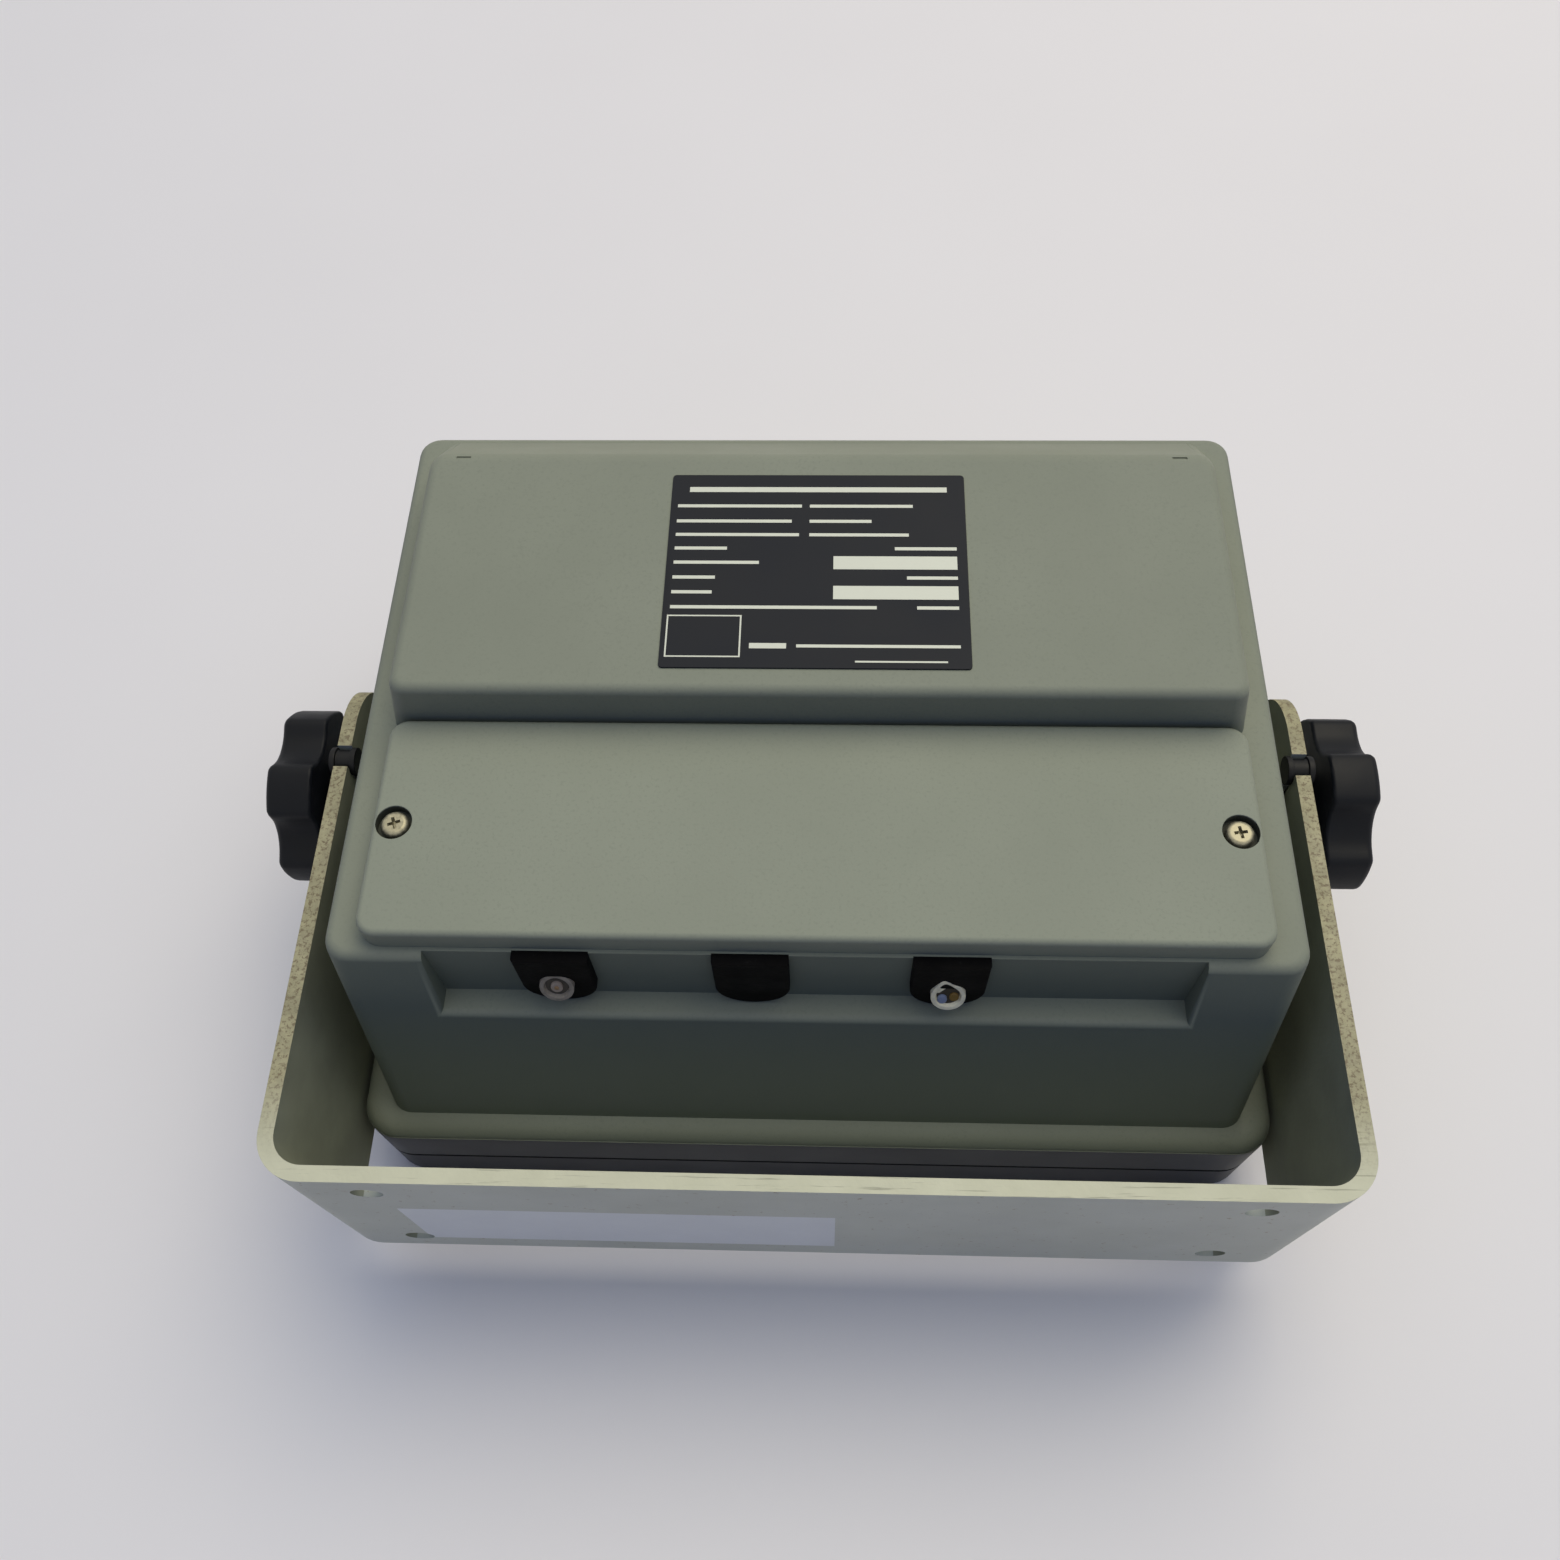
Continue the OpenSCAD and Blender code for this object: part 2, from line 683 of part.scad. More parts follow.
module front_panel() {
    out = panel_inset;
    draft = out + 0.4;
    edge = 2.5;
    inner = out + rim_w;
    color([0.42, 0.44, 0.42]) difference() {
        union() {
            difference() {
                hull() {
                    layer(front_w - 2*out, front_y1 + out, front_y2 - out, front_r - out/2, panel_d - eps);
                    for (s = [0, edge])
                        layer(front_w - 2*(draft + s), front_y1 + draft + s, front_y2 - draft - s,
                            front_r - (draft + s)/2, edge - s);
                }
                block(front_w - 2*inner, front_y1 + inner, front_y2 - inner, front_r - inner/2, -over, field_d);
                block(front_w - 2*land_w, inner_y1, inner_y2, front_r, face_z, case_z);
            }
            for (p = screw_spots) translate([p[0], p[1], field_d + eps])
                cylinder(d = panel_boss_d, h = case_z - field_d - eps);
            for (x = [key_board_x1 + post_in, key_board_x2 - post_in],
                 y = [key_board_y1 + post_in, key_board_y2 - post_in])
                translate([x, y, field_d + eps]) cylinder(d = post_d, h = key_board_z - field_d - eps);
            for (s = [-1, 1]) hinge_lug(s);
        }
        translate([door_x, 0, 0]) {
            box([-door_span/2, door_y1, -over], [door_span/2, door_y2, case_z]);
            translate([0, hinge_y, hinge_z])
                rod_x(-door_span/2 - lug_l + 1, door_span/2 + lug_l - 1, pin_d + 2*fit);
        }
        for (p = key_spots) translate([p[0], 0, 0])
            block(key_w + 2*slip, p[1] - key_h/2 - slip, p[1] + key_h/2 + slip, key_r, -over, case_z);
        translate([key_mid_x, 0, 0]) {
            block(display_w, display_y - display_h/2, display_y + display_h/2, 1.5, -over, case_z);
            for (i = [-1:1]) translate([i*lens_dx, lens_y, 0]) cylinder(d = lens_d + 2*fit, h = case_z);
            for (i = [0:5]) translate([0, buzzer_y, 0]) rotate(60*i) translate([buzzer_d/4, 0, 0])
                cylinder(d = sound_hole_d, h = case_z);
        }
        for (p = screw_spots) translate([p[0], p[1], 0]) cylinder(d = panel_screw_d + 2*slip, h = case_z + over);
    }
}

// Lug beside the door opening that holds one end of the hinge pin
module hinge_lug(s) {
    x = door_x + s*(door_span/2 + lug_l/2);
    translate([x, 0, 0])
        box([-lug_l/2, hinge_y - barrel_r, field_d + eps], [lug_l/2, hinge_y + barrel_r, hinge_z + barrel_r]);
}

module panel_screws() {
    head_h = 2.4;
    color([0.75, 0.75, 0.72]) for (p = screw_spots) translate([p[0], p[1], field_d - head_h]) difference() {
        union() {
            cylinder(d = 2*panel_screw_d, h = head_h);
            cylinder(d = panel_screw_d - 2*fit, h = case_z + flange_d/2 - field_d);
        }
        for (a = [0, 90]) rotate(a) cube([panel_screw_d, 0.9, 2], center = true);
    }
}

module main_board() {
    color([0.10, 0.32, 0.18]) difference() {
        block(board_w, board_y1, board_y2, 2, board_z, board_z + board_t);
        for (p = board_spots) translate([p[0], p[1], board_z - over])
            cylinder(d = board_screw_d + 2*slip, h = board_t + 2*over);
    }
}

module board_screws() {
    color([0.75, 0.75, 0.72]) for (p = board_spots) translate([p[0], p[1], board_z]) {
        translate([0, 0, -2]) cylinder(d = 2*board_screw_d, h = 2);
        cylinder(d = board_screw_d - 2*fit, h = 12);
    }
}

// Tin screen over the radio circuits, with a pressed rim and vent holes
module receiver_shield() {
    color([0.72, 0.72, 0.70]) translate([-board_w/4, board_mid, board_z + board_t]) difference() {
        union() {
            block(shield_w, -shield_h/2, shield_h/2, shield_rim, 0, shield_t);
            block(shield_w + 2*shield_rim, -shield_h/2 - shield_rim, shield_h/2 + shield_rim, shield_rim,
                0, sheet_t);
        }
        for (i = [0:vents - 1]) translate([(i - (vents - 1)/2)*shield_w/(vents + 1), 0, shield_t - 2*over])
            cylinder(d = 2*sheet_t, h = 3*over);
    }
}

// Power converter: a finned block
module power_converter() {
    pitch = (converter_w - fin_t)/fins;
    color([0.20, 0.20, 0.21]) translate([board_w/4, board_mid, board_z + board_t]) {
        block(converter_w, -converter_h/2, converter_h/2, 1, 0, converter_t);
        for (i = [0:fins - 1]) translate([(i - (fins - 1)/2)*pitch, 0, 0])
            block(fin_t, -converter_h/2, converter_h/2, fin_t/4, converter_t - over, converter_t + fin_h);
    }
}

module key_board() {
    color([0.10, 0.32, 0.18]) box([key_board_x1, key_board_y1, key_board_z],
        [key_board_x2, key_board_y2, key_board_z + board_t]);
}

module key_switches() {
    color([0.12, 0.12, 0.12]) for (p = key_spots) translate([p[0], p[1], 0]) {
        translate([-switch_s/2, -switch_s/2, switch_z + 0.8]) cube([switch_s, switch_s, switch_t - 0.8]);
        translate([0, 0, switch_z]) cylinder(d = 3.5, h = switch_t);
    }
}

module display_window() {
    lap = glass_lap;
    color([0.25, 0.30, 0.26]) translate([key_mid_x, 0, 0]) {
        block(display_w - 2*fit, display_y - display_h/2 + fit, display_y + display_h/2 - fit, 1.5,
            field_d + 1, face_z + glass_t);
        block(display_w + 2*lap, display_y - display_h/2 - lap, display_y + display_h/2 + lap, 1,
            face_z, face_z + glass_t);
    }
}

module display_module() {
    lap = cell_lap;
    color([0.16, 0.20, 0.17]) translate([key_mid_x, 0, face_z + glass_t]) {
        block(display_w + 2*lap, display_y - display_h/2 - lap, display_y + display_h/2 + lap, 1,
            0, display_d - board_t);
        block(display_w + 4*lap, display_y - display_h/2 - 2*lap, display_y + display_h/2 + 2*lap, 1,
            display_d - board_t, display_d);
    }
}

module indicator_lenses() {
    color([0.70, 0.20, 0.12]) for (i = [-1:1]) translate([key_mid_x + i*lens_dx, lens_y, 0]) {
        translate([0, 0, field_d]) cylinder(d = lens_d, h = face_t + lens_flange);
        translate([0, 0, face_z]) cylinder(d = lens_d + 2, h = lens_flange);
        translate([0, 0, field_d]) sphere(d = lens_d - 2*fit);
    }
}

module buzzer() {
    color([0.08, 0.08, 0.08]) translate([key_mid_x, buzzer_y, face_z]) difference() {
        cylinder(d = buzzer_d, h = buzzer_t);
        translate([0, 0, -over]) cylinder(d = buzzer_d/2 + sound_hole_d + 2, h = 2);
    }
}

// Printer chassis: two cheeks with feet on the front panel, joined by a back plate
module printer_chassis() {
    t = sheet_t;
    color([0.68, 0.69, 0.68]) translate([door_x, 0, 0]) difference() {
        union() {
            box([-cheek_x - t, bay_y1, bay_z], [cheek_x + t, bay_y2, bay_z + t]);
            for (s = [-1, 1]) {
                translate([s*(cheek_x + t/2), 0, 0])
                    box([-t/2, bay_y1, face_z], [t/2, bay_y2, bay_z + t]);
                translate([s*(cheek_x + foot_w/2), 0, 0])
                    box([-foot_w/2, bay_y1, face_z], [foot_w/2, bay_y2, face_z + t]);
            }
        }
        translate([0, roll_y, roll_z]) rod_x(-door_span, door_span, spindle_d + 2*fit);
        translate([0, platen_y, platen_z]) rod_x(-door_span, door_span, shaft_d + 2*bush_wall + 2*fit);
        for (i = [-1:1]) translate([i*door_span/4, (bay_y1 + bay_y2)/2, bay_z - over])
            cylinder(d = 10, h = t + 2*over);
    }
}

module head_bar() {
    color([0.60, 0.61, 0.60]) translate([door_x, platen_y, head_z + head_t])
        box([-cheek_x, -head_w/2, 0], [cheek_x, head_w/2, bar_t]);
}

module print_head() {
    color([0.30, 0.28, 0.24]) translate([door_x, platen_y, head_z])
        box([-roll_w/2 - 2, -head_w/2, 0], [roll_w/2 + 2, head_w/2, head_t]);
}

module platen_bushes() {
    color([0.80, 0.66, 0.36]) translate([door_x, platen_y, platen_z]) for (s = [-1, 1])
        ring_x(s > 0 ? cheek_x + sheet_t - bush_l : -cheek_x - sheet_t, bush_l,
            shaft_d + 2*bush_wall, shaft_d + 2*run);
}

// Geared stepping motor on the outside of one cheek
module feed_motor() {
    x = -cheek_x - sheet_t;
    color([0.55, 0.55, 0.54]) translate([door_x, platen_y, platen_z]) difference() {
        union() {
            rod_x(x - motor_l, x - 5, motor_d);
            rod_x(x - 6, x, motor_d - 4);
        }
        rod_x(x - shaft_in, x + over, shaft_d + 2*run);
    }
}

module roll_spindle() {
    reach = cheek_x + sheet_t + 1;
    color([0.72, 0.72, 0.70]) translate([door_x, roll_y, roll_z]) rod_x(-reach, reach, spindle_d);
}

module door_pin() {
    reach = door_span/2 + lug_l - 1.2;
    color([0.72, 0.72, 0.70]) translate([door_x, hinge_y, hinge_z]) rod_x(-reach, reach, pin_d);
}

// U bracket bent from one strip, with open slots for the studs
module bracket() {
    outer = arm_x + plate_t;
    out_r = bend_r + plate_t;
    tip_y = pivot_y + arm_reach;
    color([0.74, 0.73, 0.60]) difference() {
        intersection() {
            translate([0, 0, arm_z1]) linear_extrude(strip_w) difference() {
                plan(2*outer, base_y - plate_t, tip_y + 2*out_r, out_r);
                plan(2*arm_x, base_y, tip_y + 3*out_r, bend_r);
            }
            rotate([90, 0, 90]) translate([0, 0, -outer - over]) linear_extrude(2*outer + 2*over)
                arm_side(base_y - plate_t - over, tip_y);
        }
        for (s = [-1, 1]) translate([0, pivot_y, pivot_z]) {
            rod_x(s*(arm_x - over), s*(outer + over), slot_gap);
            translate([s*(arm_x + plate_t/2), 0, strip_w/2])
                cube([plate_t + 2*over, slot_gap, strip_w], center = true);
        }
        for (x = [-1, 1], z = [arm_z1 + hole_edge, arm_z2 - hole_edge])
            translate([x*hole_pitch/2, 0, z]) rod_y(base_y - plate_t - over, base_y + over, hole_d);
    }
}

// Side outline of the bracket, rounded at the ends of the arms
module arm_side(y1, y2) {
    translate([y1, arm_z1]) square([y2 - y1 - arm_r, strip_w]);
    translate([y1, arm_z1 + arm_r]) square([y2 - y1, strip_w - 2*arm_r]);
    for (z = [arm_z1 + arm_r, arm_z2 - arm_r]) translate([y2 - arm_r, z]) circle(arm_r);
}

// Snap-in keepers that close the slots behind the studs
module slot_keepers() {
    color([0.09, 0.09, 0.10]) for (s = [-1, 1]) translate([0, pivot_y, arm_z2 - slot_gap/2]) {
        rod_x(s*(arm_x - keeper_t), s*(arm_x + plate_t + keeper_t), slot_gap - 2*fit);
        rod_x(s*(arm_x - fit - keeper_t), s*(arm_x - fit), keeper_d);
        rod_x(s*(arm_x + plate_t + fit), s*(arm_x + plate_t + fit + keeper_t), keeper_d);
    }
}

// Star knob along +X: a turned body cut by hollows, with a hub and a dished cap
module star_knob(angle) {
    r = knob_d/2;
    c = knob_chamfer;
    color([0.11, 0.11, 0.12]) rotate([0, 90, 0]) rotate(angle) difference() {
        rotate_extrude() polygon([
            [0, hub_x], [hub_d/2, hub_x], [hub_d/2, lobe_x], [r - c, lobe_x], [r, lobe_x + c],
            [r, lobe_x + lobe_t - c], [r - c, lobe_x + lobe_t], [hub_d/2, lobe_x + lobe_t],
            [hub_d/2 - 1, lobe_x + lobe_t - 1], [0, lobe_x + lobe_t - 1]]);
        for (i = [0:knob_lobes - 1]) rotate(360/knob_lobes*(i + 0.5))
            translate([r + scallop_d/2 - scallop_depth, 0, lobe_x - over])
                cylinder(d = scallop_d, h = lobe_t + 2*over);
        translate([0, 0, hub_x - over]) cylinder(d = stud_d, h = hub_t + lobe_t/2 + over);
    }
}

// Steel stud of a knob along +X, with a plain point
module stud() {
    color([0.70, 0.70, 0.68]) {
        rod_x(boss_x - stud_in + 1, lobe_x + lobe_t/2, stud_d);
        rod_x(boss_x - stud_in, boss_x - stud_in + 1 + eps, stud_d - 1);
    }
}

module knob_washer() {
    color([0.70, 0.70, 0.68]) ring_x(washer_x, knob_washer_t, hub_d - 3, stud_d);
}

// The same pieces turned round for the other side
module at_pivot(side) {
    translate([0, pivot_y, pivot_z]) rotate(side < 0 ? 180 : 0) children();
}

module knob_left() { at_pivot(-1) star_knob(left_angle); }
module stud_left() { at_pivot(-1) stud(); }
module knob_washer_left() { at_pivot(-1) knob_washer(); }
module knob_right() { at_pivot(1) star_knob(right_angle); }
module stud_right() { at_pivot(1) stud(); }
module knob_washer_right() { at_pivot(1) knob_washer(); }

// One key: a cap through the front, a flange behind it and a stem towards its switch
module key(i) {
    x = key_spots[i][0];
    y = key_spots[i][1];
    lap = 1.5;
    color([0.20, 0.21, 0.22]) translate([x, 0, 0]) {
        block(key_w, y - key_h/2, y + key_h/2, key_r, field_d - 2, face_z + slip + eps);
        block(key_w - 2, y - key_h/2 + 1, y + key_h/2 - 1, key_r, field_d - 2.5, field_d);
        block(key_w + 2*lap, y - key_h/2 - lap, y + key_h/2 + lap, key_r, face_z + slip, key_back_z);
        translate([0, y, face_z + slip]) cylinder(d = stem_d, h = stem_z - face_z - slip);
    }
}

module key_power() { key(0); }
module key_alarm() { key(1); }
module key_feed() { key(2); }
module key_select() { key(3); }
module key_dimmer() { key(4); }
module key_test() { key(5); }

// Paper door: a plate with a window opening, a paper slot and a hinge barrel
module paper_door() {
    w = door_span - 2*slip;
    color([0.30, 0.32, 0.31]) translate([door_x, 0, 0]) difference() {
        union() {
            box([-w/2, door_y1 + slip, door_z], [w/2, hinge_y, face_z]);
            translate([0, hinge_y, hinge_z]) rod_x(-w/2, w/2, 2*barrel_r);
        }
        translate([0, hinge_y, hinge_z]) rod_x(-door_span, door_span, pin_d + 2*run);
        block(window_s, roll_y - window_s/2, roll_y + window_s/2, 3, door_z - over, face_z + over);
        box([-roll_w/2 - 1, exit_y - exit_h, door_z - over], [roll_w/2 + 1, exit_y, face_z + over]);
        translate([0, door_y1 + slip, door_z]) rod_x(-pull_w/2, pull_w/2, pull_d);
    }
}

module door_window() {
    lap = window_lap;
    color([0.75, 0.80, 0.80]) translate([door_x, 0, 0]) {
        block(window_s - 2*fit, roll_y - window_s/2 + fit, roll_y + window_s/2 - fit, 3, door_z + 0.5, face_z);
        block(window_s + 2*lap, roll_y - window_s/2 - lap, roll_y + window_s/2 + lap, 2, face_z, face_z + glass_t);
    }
}

module platen_shaft() {
    x1 = -cheek_x - sheet_t - shaft_in + 1;
    x2 = cheek_x + sheet_t + 1;
    color([0.72, 0.72, 0.70]) translate([door_x, platen_y, platen_z]) rod_x(x1, x2, shaft_d);
}

module platen_roller() {
    color([0.13, 0.13, 0.13]) translate([door_x, platen_y, platen_z])
        ring_x(-roll_w/2 - 1, roll_w + 2, platen_d, shaft_d);
}

module paper_roll() {
    color([0.93, 0.92, 0.88]) translate([door_x, roll_y, roll_z])
        ring_x(-roll_w/2, roll_w, roll_d, spindle_d + 2*slip);
}

// Everything is drawn about the point under the middle of the object
module placed() {
    translate([0, -mid_y, 0]) children();
}

placed() rear_case();
placed() connector_cover();
placed() cover_screws();
placed() cover_inserts();
placed() nameplate();
placed() grommet_left();
placed() grommet_blank();
placed() grommet_right();
placed() coax_stub();
placed() power_stub();
placed() coax_socket();
placed() terminal_strip();
placed() knob_inserts();
placed() pivot_washers();
placed() front_gasket();
placed() front_panel();
placed() panel_screws();
placed() main_board();
placed() board_screws();
placed() receiver_shield();
placed() power_converter();
placed() key_board();
placed() key_switches();
placed() display_window();
placed() display_module();
placed() indicator_lenses();
placed() buzzer();
placed() printer_chassis();
placed() print_head();
placed() head_bar();
placed() platen_bushes();
placed() feed_motor();
placed() roll_spindle();
placed() door_pin();
placed() bracket();
placed() slot_keepers();
placed() knob_left();
placed() stud_left();
placed() knob_washer_left();
placed() knob_right();
placed() stud_right();
placed() knob_washer_right();
placed() key_power();
placed() key_alarm();
placed() key_feed();
placed() key_select();
placed() key_dimmer();
placed() key_test();
placed() paper_door();
placed() door_window();
placed() platen_shaft();
placed() platen_roller();
placed() paper_roll();
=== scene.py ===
"""Looks of a marine text receiver that lies on its face, laid out as an add-on and run as a script."""
import json
import math
from contextlib import contextmanager

import bmesh
import bpy
from bpy.props import FloatProperty, FloatVectorProperty, IntProperty, PointerProperty
from bpy.types import Operator, Panel, PropertyGroup
from mathutils import Euler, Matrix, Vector


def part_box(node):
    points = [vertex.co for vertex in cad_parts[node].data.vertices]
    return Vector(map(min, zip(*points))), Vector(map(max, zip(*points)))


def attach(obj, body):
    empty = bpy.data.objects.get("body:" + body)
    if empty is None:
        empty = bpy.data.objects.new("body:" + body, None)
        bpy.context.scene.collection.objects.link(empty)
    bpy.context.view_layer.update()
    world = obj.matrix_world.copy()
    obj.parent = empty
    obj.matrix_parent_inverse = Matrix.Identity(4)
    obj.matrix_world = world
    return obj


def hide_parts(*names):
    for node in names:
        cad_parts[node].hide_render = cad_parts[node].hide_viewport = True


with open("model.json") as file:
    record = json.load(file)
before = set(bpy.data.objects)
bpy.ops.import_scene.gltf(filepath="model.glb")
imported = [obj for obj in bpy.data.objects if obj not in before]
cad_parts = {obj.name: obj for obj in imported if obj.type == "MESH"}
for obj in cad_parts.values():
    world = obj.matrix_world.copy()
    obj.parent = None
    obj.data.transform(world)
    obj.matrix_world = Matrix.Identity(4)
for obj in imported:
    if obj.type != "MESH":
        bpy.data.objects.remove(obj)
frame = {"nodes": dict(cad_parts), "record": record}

bl_info = {
    "name": "Marine text receiver",
    "version": (1, 0, 0),
    "blender": (4, 5, 0),
    "location": "View3D > Sidebar > Receiver",
    "description": "Models and finishes a bracket-mounted marine text receiver",
    "category": "Object",
}

# A millimetre in metres, and the distance within which two places count as one
MM = 0.001
NEAR = 0.02*MM
# How far a cutter reaches past what it cuts, and the least length of a main edge
PAST = 1*MM
LONG = 5*MM
# Numbers of the axes
X, Y, Z = range(3)
# Part of a face's normal along an axis: above STRAIGHT it looks along it, and below STEEP it turns away.
# ROUGHLY and SLIGHTLY are the lower bars for painting
STRAIGHT, STEEP, ROUGHLY, SLIGHTLY = 0.95, 0.8, 0.5, 0.2
# Angles in degrees above which an edge is softened, and above which it stays sharp in shading
SOFTENED, SHARP = 40, 38
# Weight of large faces in the shading of a corner, where 50 is neutral
LARGE_FACES = 80
# Range in which most values of a noise texture lie
NOISE_LOW, NOISE_HIGH = 0.3, 0.7
# Sockets of a node that mixes colours: factor, lower colour, upper colour and the mixed colour
FACTOR, UNDER, OVER, MIXED = 0, 6, 7, 2
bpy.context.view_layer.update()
SLOT_OF = {part["node"]: part["material_slot"] for part in frame["record"]["subparts"]}


def linear(code):
    """Linear RGBA of an sRGB hex colour."""
    parts = [int(code[i:i + 2], 16)/255 for i in (0, 2, 4)]
    return tuple(c/12.92 if c <= 0.04045 else ((c + 0.055)/1.055)**2.4 for c in parts) + (1.0,)


def length(name, description, millimetres):
    """A length that a user can set, given in millimetres."""
    return FloatProperty(name=name, description=description, default=millimetres*MM, unit="LENGTH",
                         precision=5)


def degrees(name, description, angle):
    """An angle that a user can set, given in degrees."""
    return FloatProperty(name=name, description=description, default=math.radians(angle), subtype="ANGLE")


def number(name, description, value):
    """A plain number that a user can set."""
    return FloatProperty(name=name, description=description, default=value)


def point(name, description, place):
    """A place that a user can set, in metres."""
    return FloatVectorProperty(name=name, description=description, default=place, subtype="TRANSLATION",
                               unit="LENGTH")


def colour(name, description, code):
    """A colour that a user can set, given as an sRGB hex value."""
    return FloatVectorProperty(name=name, description=description, default=linear(code), subtype="COLOR",
                               size=4)


# Sizes and colours that a user would change
class CaseSizes(PropertyGroup):
    """Sizes of the rear case and of what is screwed to it."""
    flange_w: length("Flange width", "Width of the front flange", 258)
    flange_d: length("Flange depth", "Depth of the front flange", 22)
    flange_r: length("Flange edge", "Rounding of the flange's upper edge", 5.6)
    front_r: length("Front corners", "Radius of the flange's corners", 11)
    lip_side: length("Side lip", "How far the flange stands out at the sides", 9)
    lip_bottom: length("Bottom lip", "How far the flange stands out at the bottom", 6.4)
    lip_top: length("Top lip", "How far the flange stands out at the top", 7)
    groove: length("Groove", "Width and depth of the groove round the flange", 0.9)
    groove_drop: length("Groove drop", "Depth of the groove below the top of the flange", 3.6)
    rim_t: length("Rim", "Thickness of the front panel's outer wall", 3.8)
    rim_r: length("Rim edge", "Rounding of the front panel's lower edge", 2.4)
    rim_soft: length("Rim softening", "Softening of the other edges of the front panel's outer wall", 0.6)
    rim_foot: length("Rim foot", "How far the outer wall stands back from the front face", 0.5)
    rim_gap: length("Rim gap", "Gap between the outer wall and the gasket", 0.2)
    ledge_w: length("Ledge width", "Width of the case across the rear ledge", 236)
    ledge_y1: length("Ledge bottom", "Where the ledge starts at the bottom wall", -63.5)
    ledge_y2: length("Ledge top", "Where the ledge ends at the top wall", 101)
    corner_r: length("Case corners", "Radius of the upright corners of the case", 6)
    edge_r: length("Ledge edge", "Rounding of the edge round the ledge", 2.5)
    margin: length("Ledge margin", "Width of the ledge beside the raised section", 8)
    step_y: length("Step", "Where the raised section starts", -0.7)
    ramp_y: length("Crease", "Where the ramp starts on the raised section", 75.5)
    ramp_end: length("Ramp end", "Where the ramp meets the ledge", 98.5)
    raised_sink: length("Raised sink", "How far the raised section reaches down into the ledge", 2)
    raised_draft: length("Raised draft", "How much the raised sides lean in", 3.6)
    raised_r: length("Raised edge", "Rounding of the raised section's upper edges", 2.6)
    crown_r: length("Raised corners", "Radius of the raised section's corners", 4)
    recess_w: length("Recess width", "Width of the cable recess", 187)
    recess_d: length("Recess depth", "Depth of the cable recess below the ledge", 25.9)
    recess_y: length("Recess back", "Where the cable recess ends", -61.7)
    recess_r: length("Recess edge", "Rounding of the recess's outer edges", 1.8)
    slot_pitch: length("Slot pitch", "Distance between the two small slots at the crease", 194.6)
    slot_w: length("Slot width", "Width of the small slots", 4)
    slot_h: length("Slot height", "Height of the small slots", 1)
    slot_depth: length("Slot depth", "Depth of the small slots", 1)
    wall: length("Wall", "Thickness of the case's wall", 3.5)
    boss_d: length("Boss", "Diameter of the pivot bosses", 26)
    counterbore_d: length("Counterbore", "Diameter of the pockets for the cover's screws", 9)
    cover_r: length("Cover corners", "Radius of the cover's corners", 5)
    cover_edge: length("Cover edge", "Rounding of the cover's upper edge", 1.6)
    pocket_edge: length("Pocket edge", "Softening of the edges of the screws' pockets", 0.35)
    plate_r: length("Plate corners", "Radius of the nameplate's corners", 1)
    plate_edge: length("Plate edge", "Softening of the nameplate's edge", 0.12)


class ScrewSizes(PropertyGroup):
    """Sizes of the cover's screws."""
    head_t: length("Head", "Height of the pan head", 2.6)
    crown_r: length("Crown", "Rounding of the head's upper edge", 1.25)
    slit_l: length("Slit length", "Length of each slit of the cross at the top", 4)
    slit_w: length("Slit width", "Width of each slit of the cross at the top", 1)
    slit_d: length("Slit depth", "Depth of the cross", 1.5)
    foot_l: length("Foot length", "Length of each slit of the cross at its foot", 2.2)
    foot_w: length("Foot width", "Width of each slit of the cross at its foot", 0.6)
    shank_d: length("Shank", "Diameter of the shank", 4)
    overlap: length("Overlap", "How far the shank reaches into the head", 0.2)
    left_turn: degrees("Left turn", "Angle at which the left screw stands", 20)
    right_turn: degrees("Right turn", "Angle at which the right screw stands", 8)


class CableSizes(PropertyGroup):
    """Sizes of the grommets and of the cut ends of the cables."""
    grommet_edge: length("Grommet edge", "Rounding of a grommet's outer edge", 0.8)
    set_back: length("Set-back", "How far a sheath ends behind the foremost point of its cable", 0.15)
    hollow: length("Hollow", "Depth of the hollow in the end of a cable", 1.2)
    bore: number("Bore", "Inner width of a sheath as a share of its outer width", 0.74)
    sheath_edge: length("Sheath edge", "Softening of the cut edges of a sheath", 0.25)
    core_edge: length("Core edge", "Softening of the cut end of a core", 0.15)
    core_l: length("Core length", "How far back a core starts", 9)
    lean_l: length("Lean", "Length of the cut end that leans back", 2)
    flap_h: length("Flap", "Height of the torn flap of the power cable's sheath", 3.4)
    flap_x: number("Flap place", "Place of the flap across the sheath, from 0 to 1", 0.35)
    flap_spread: number("Flap spread", "Square of the flap's half width, as a share of the sheath", 0.05)


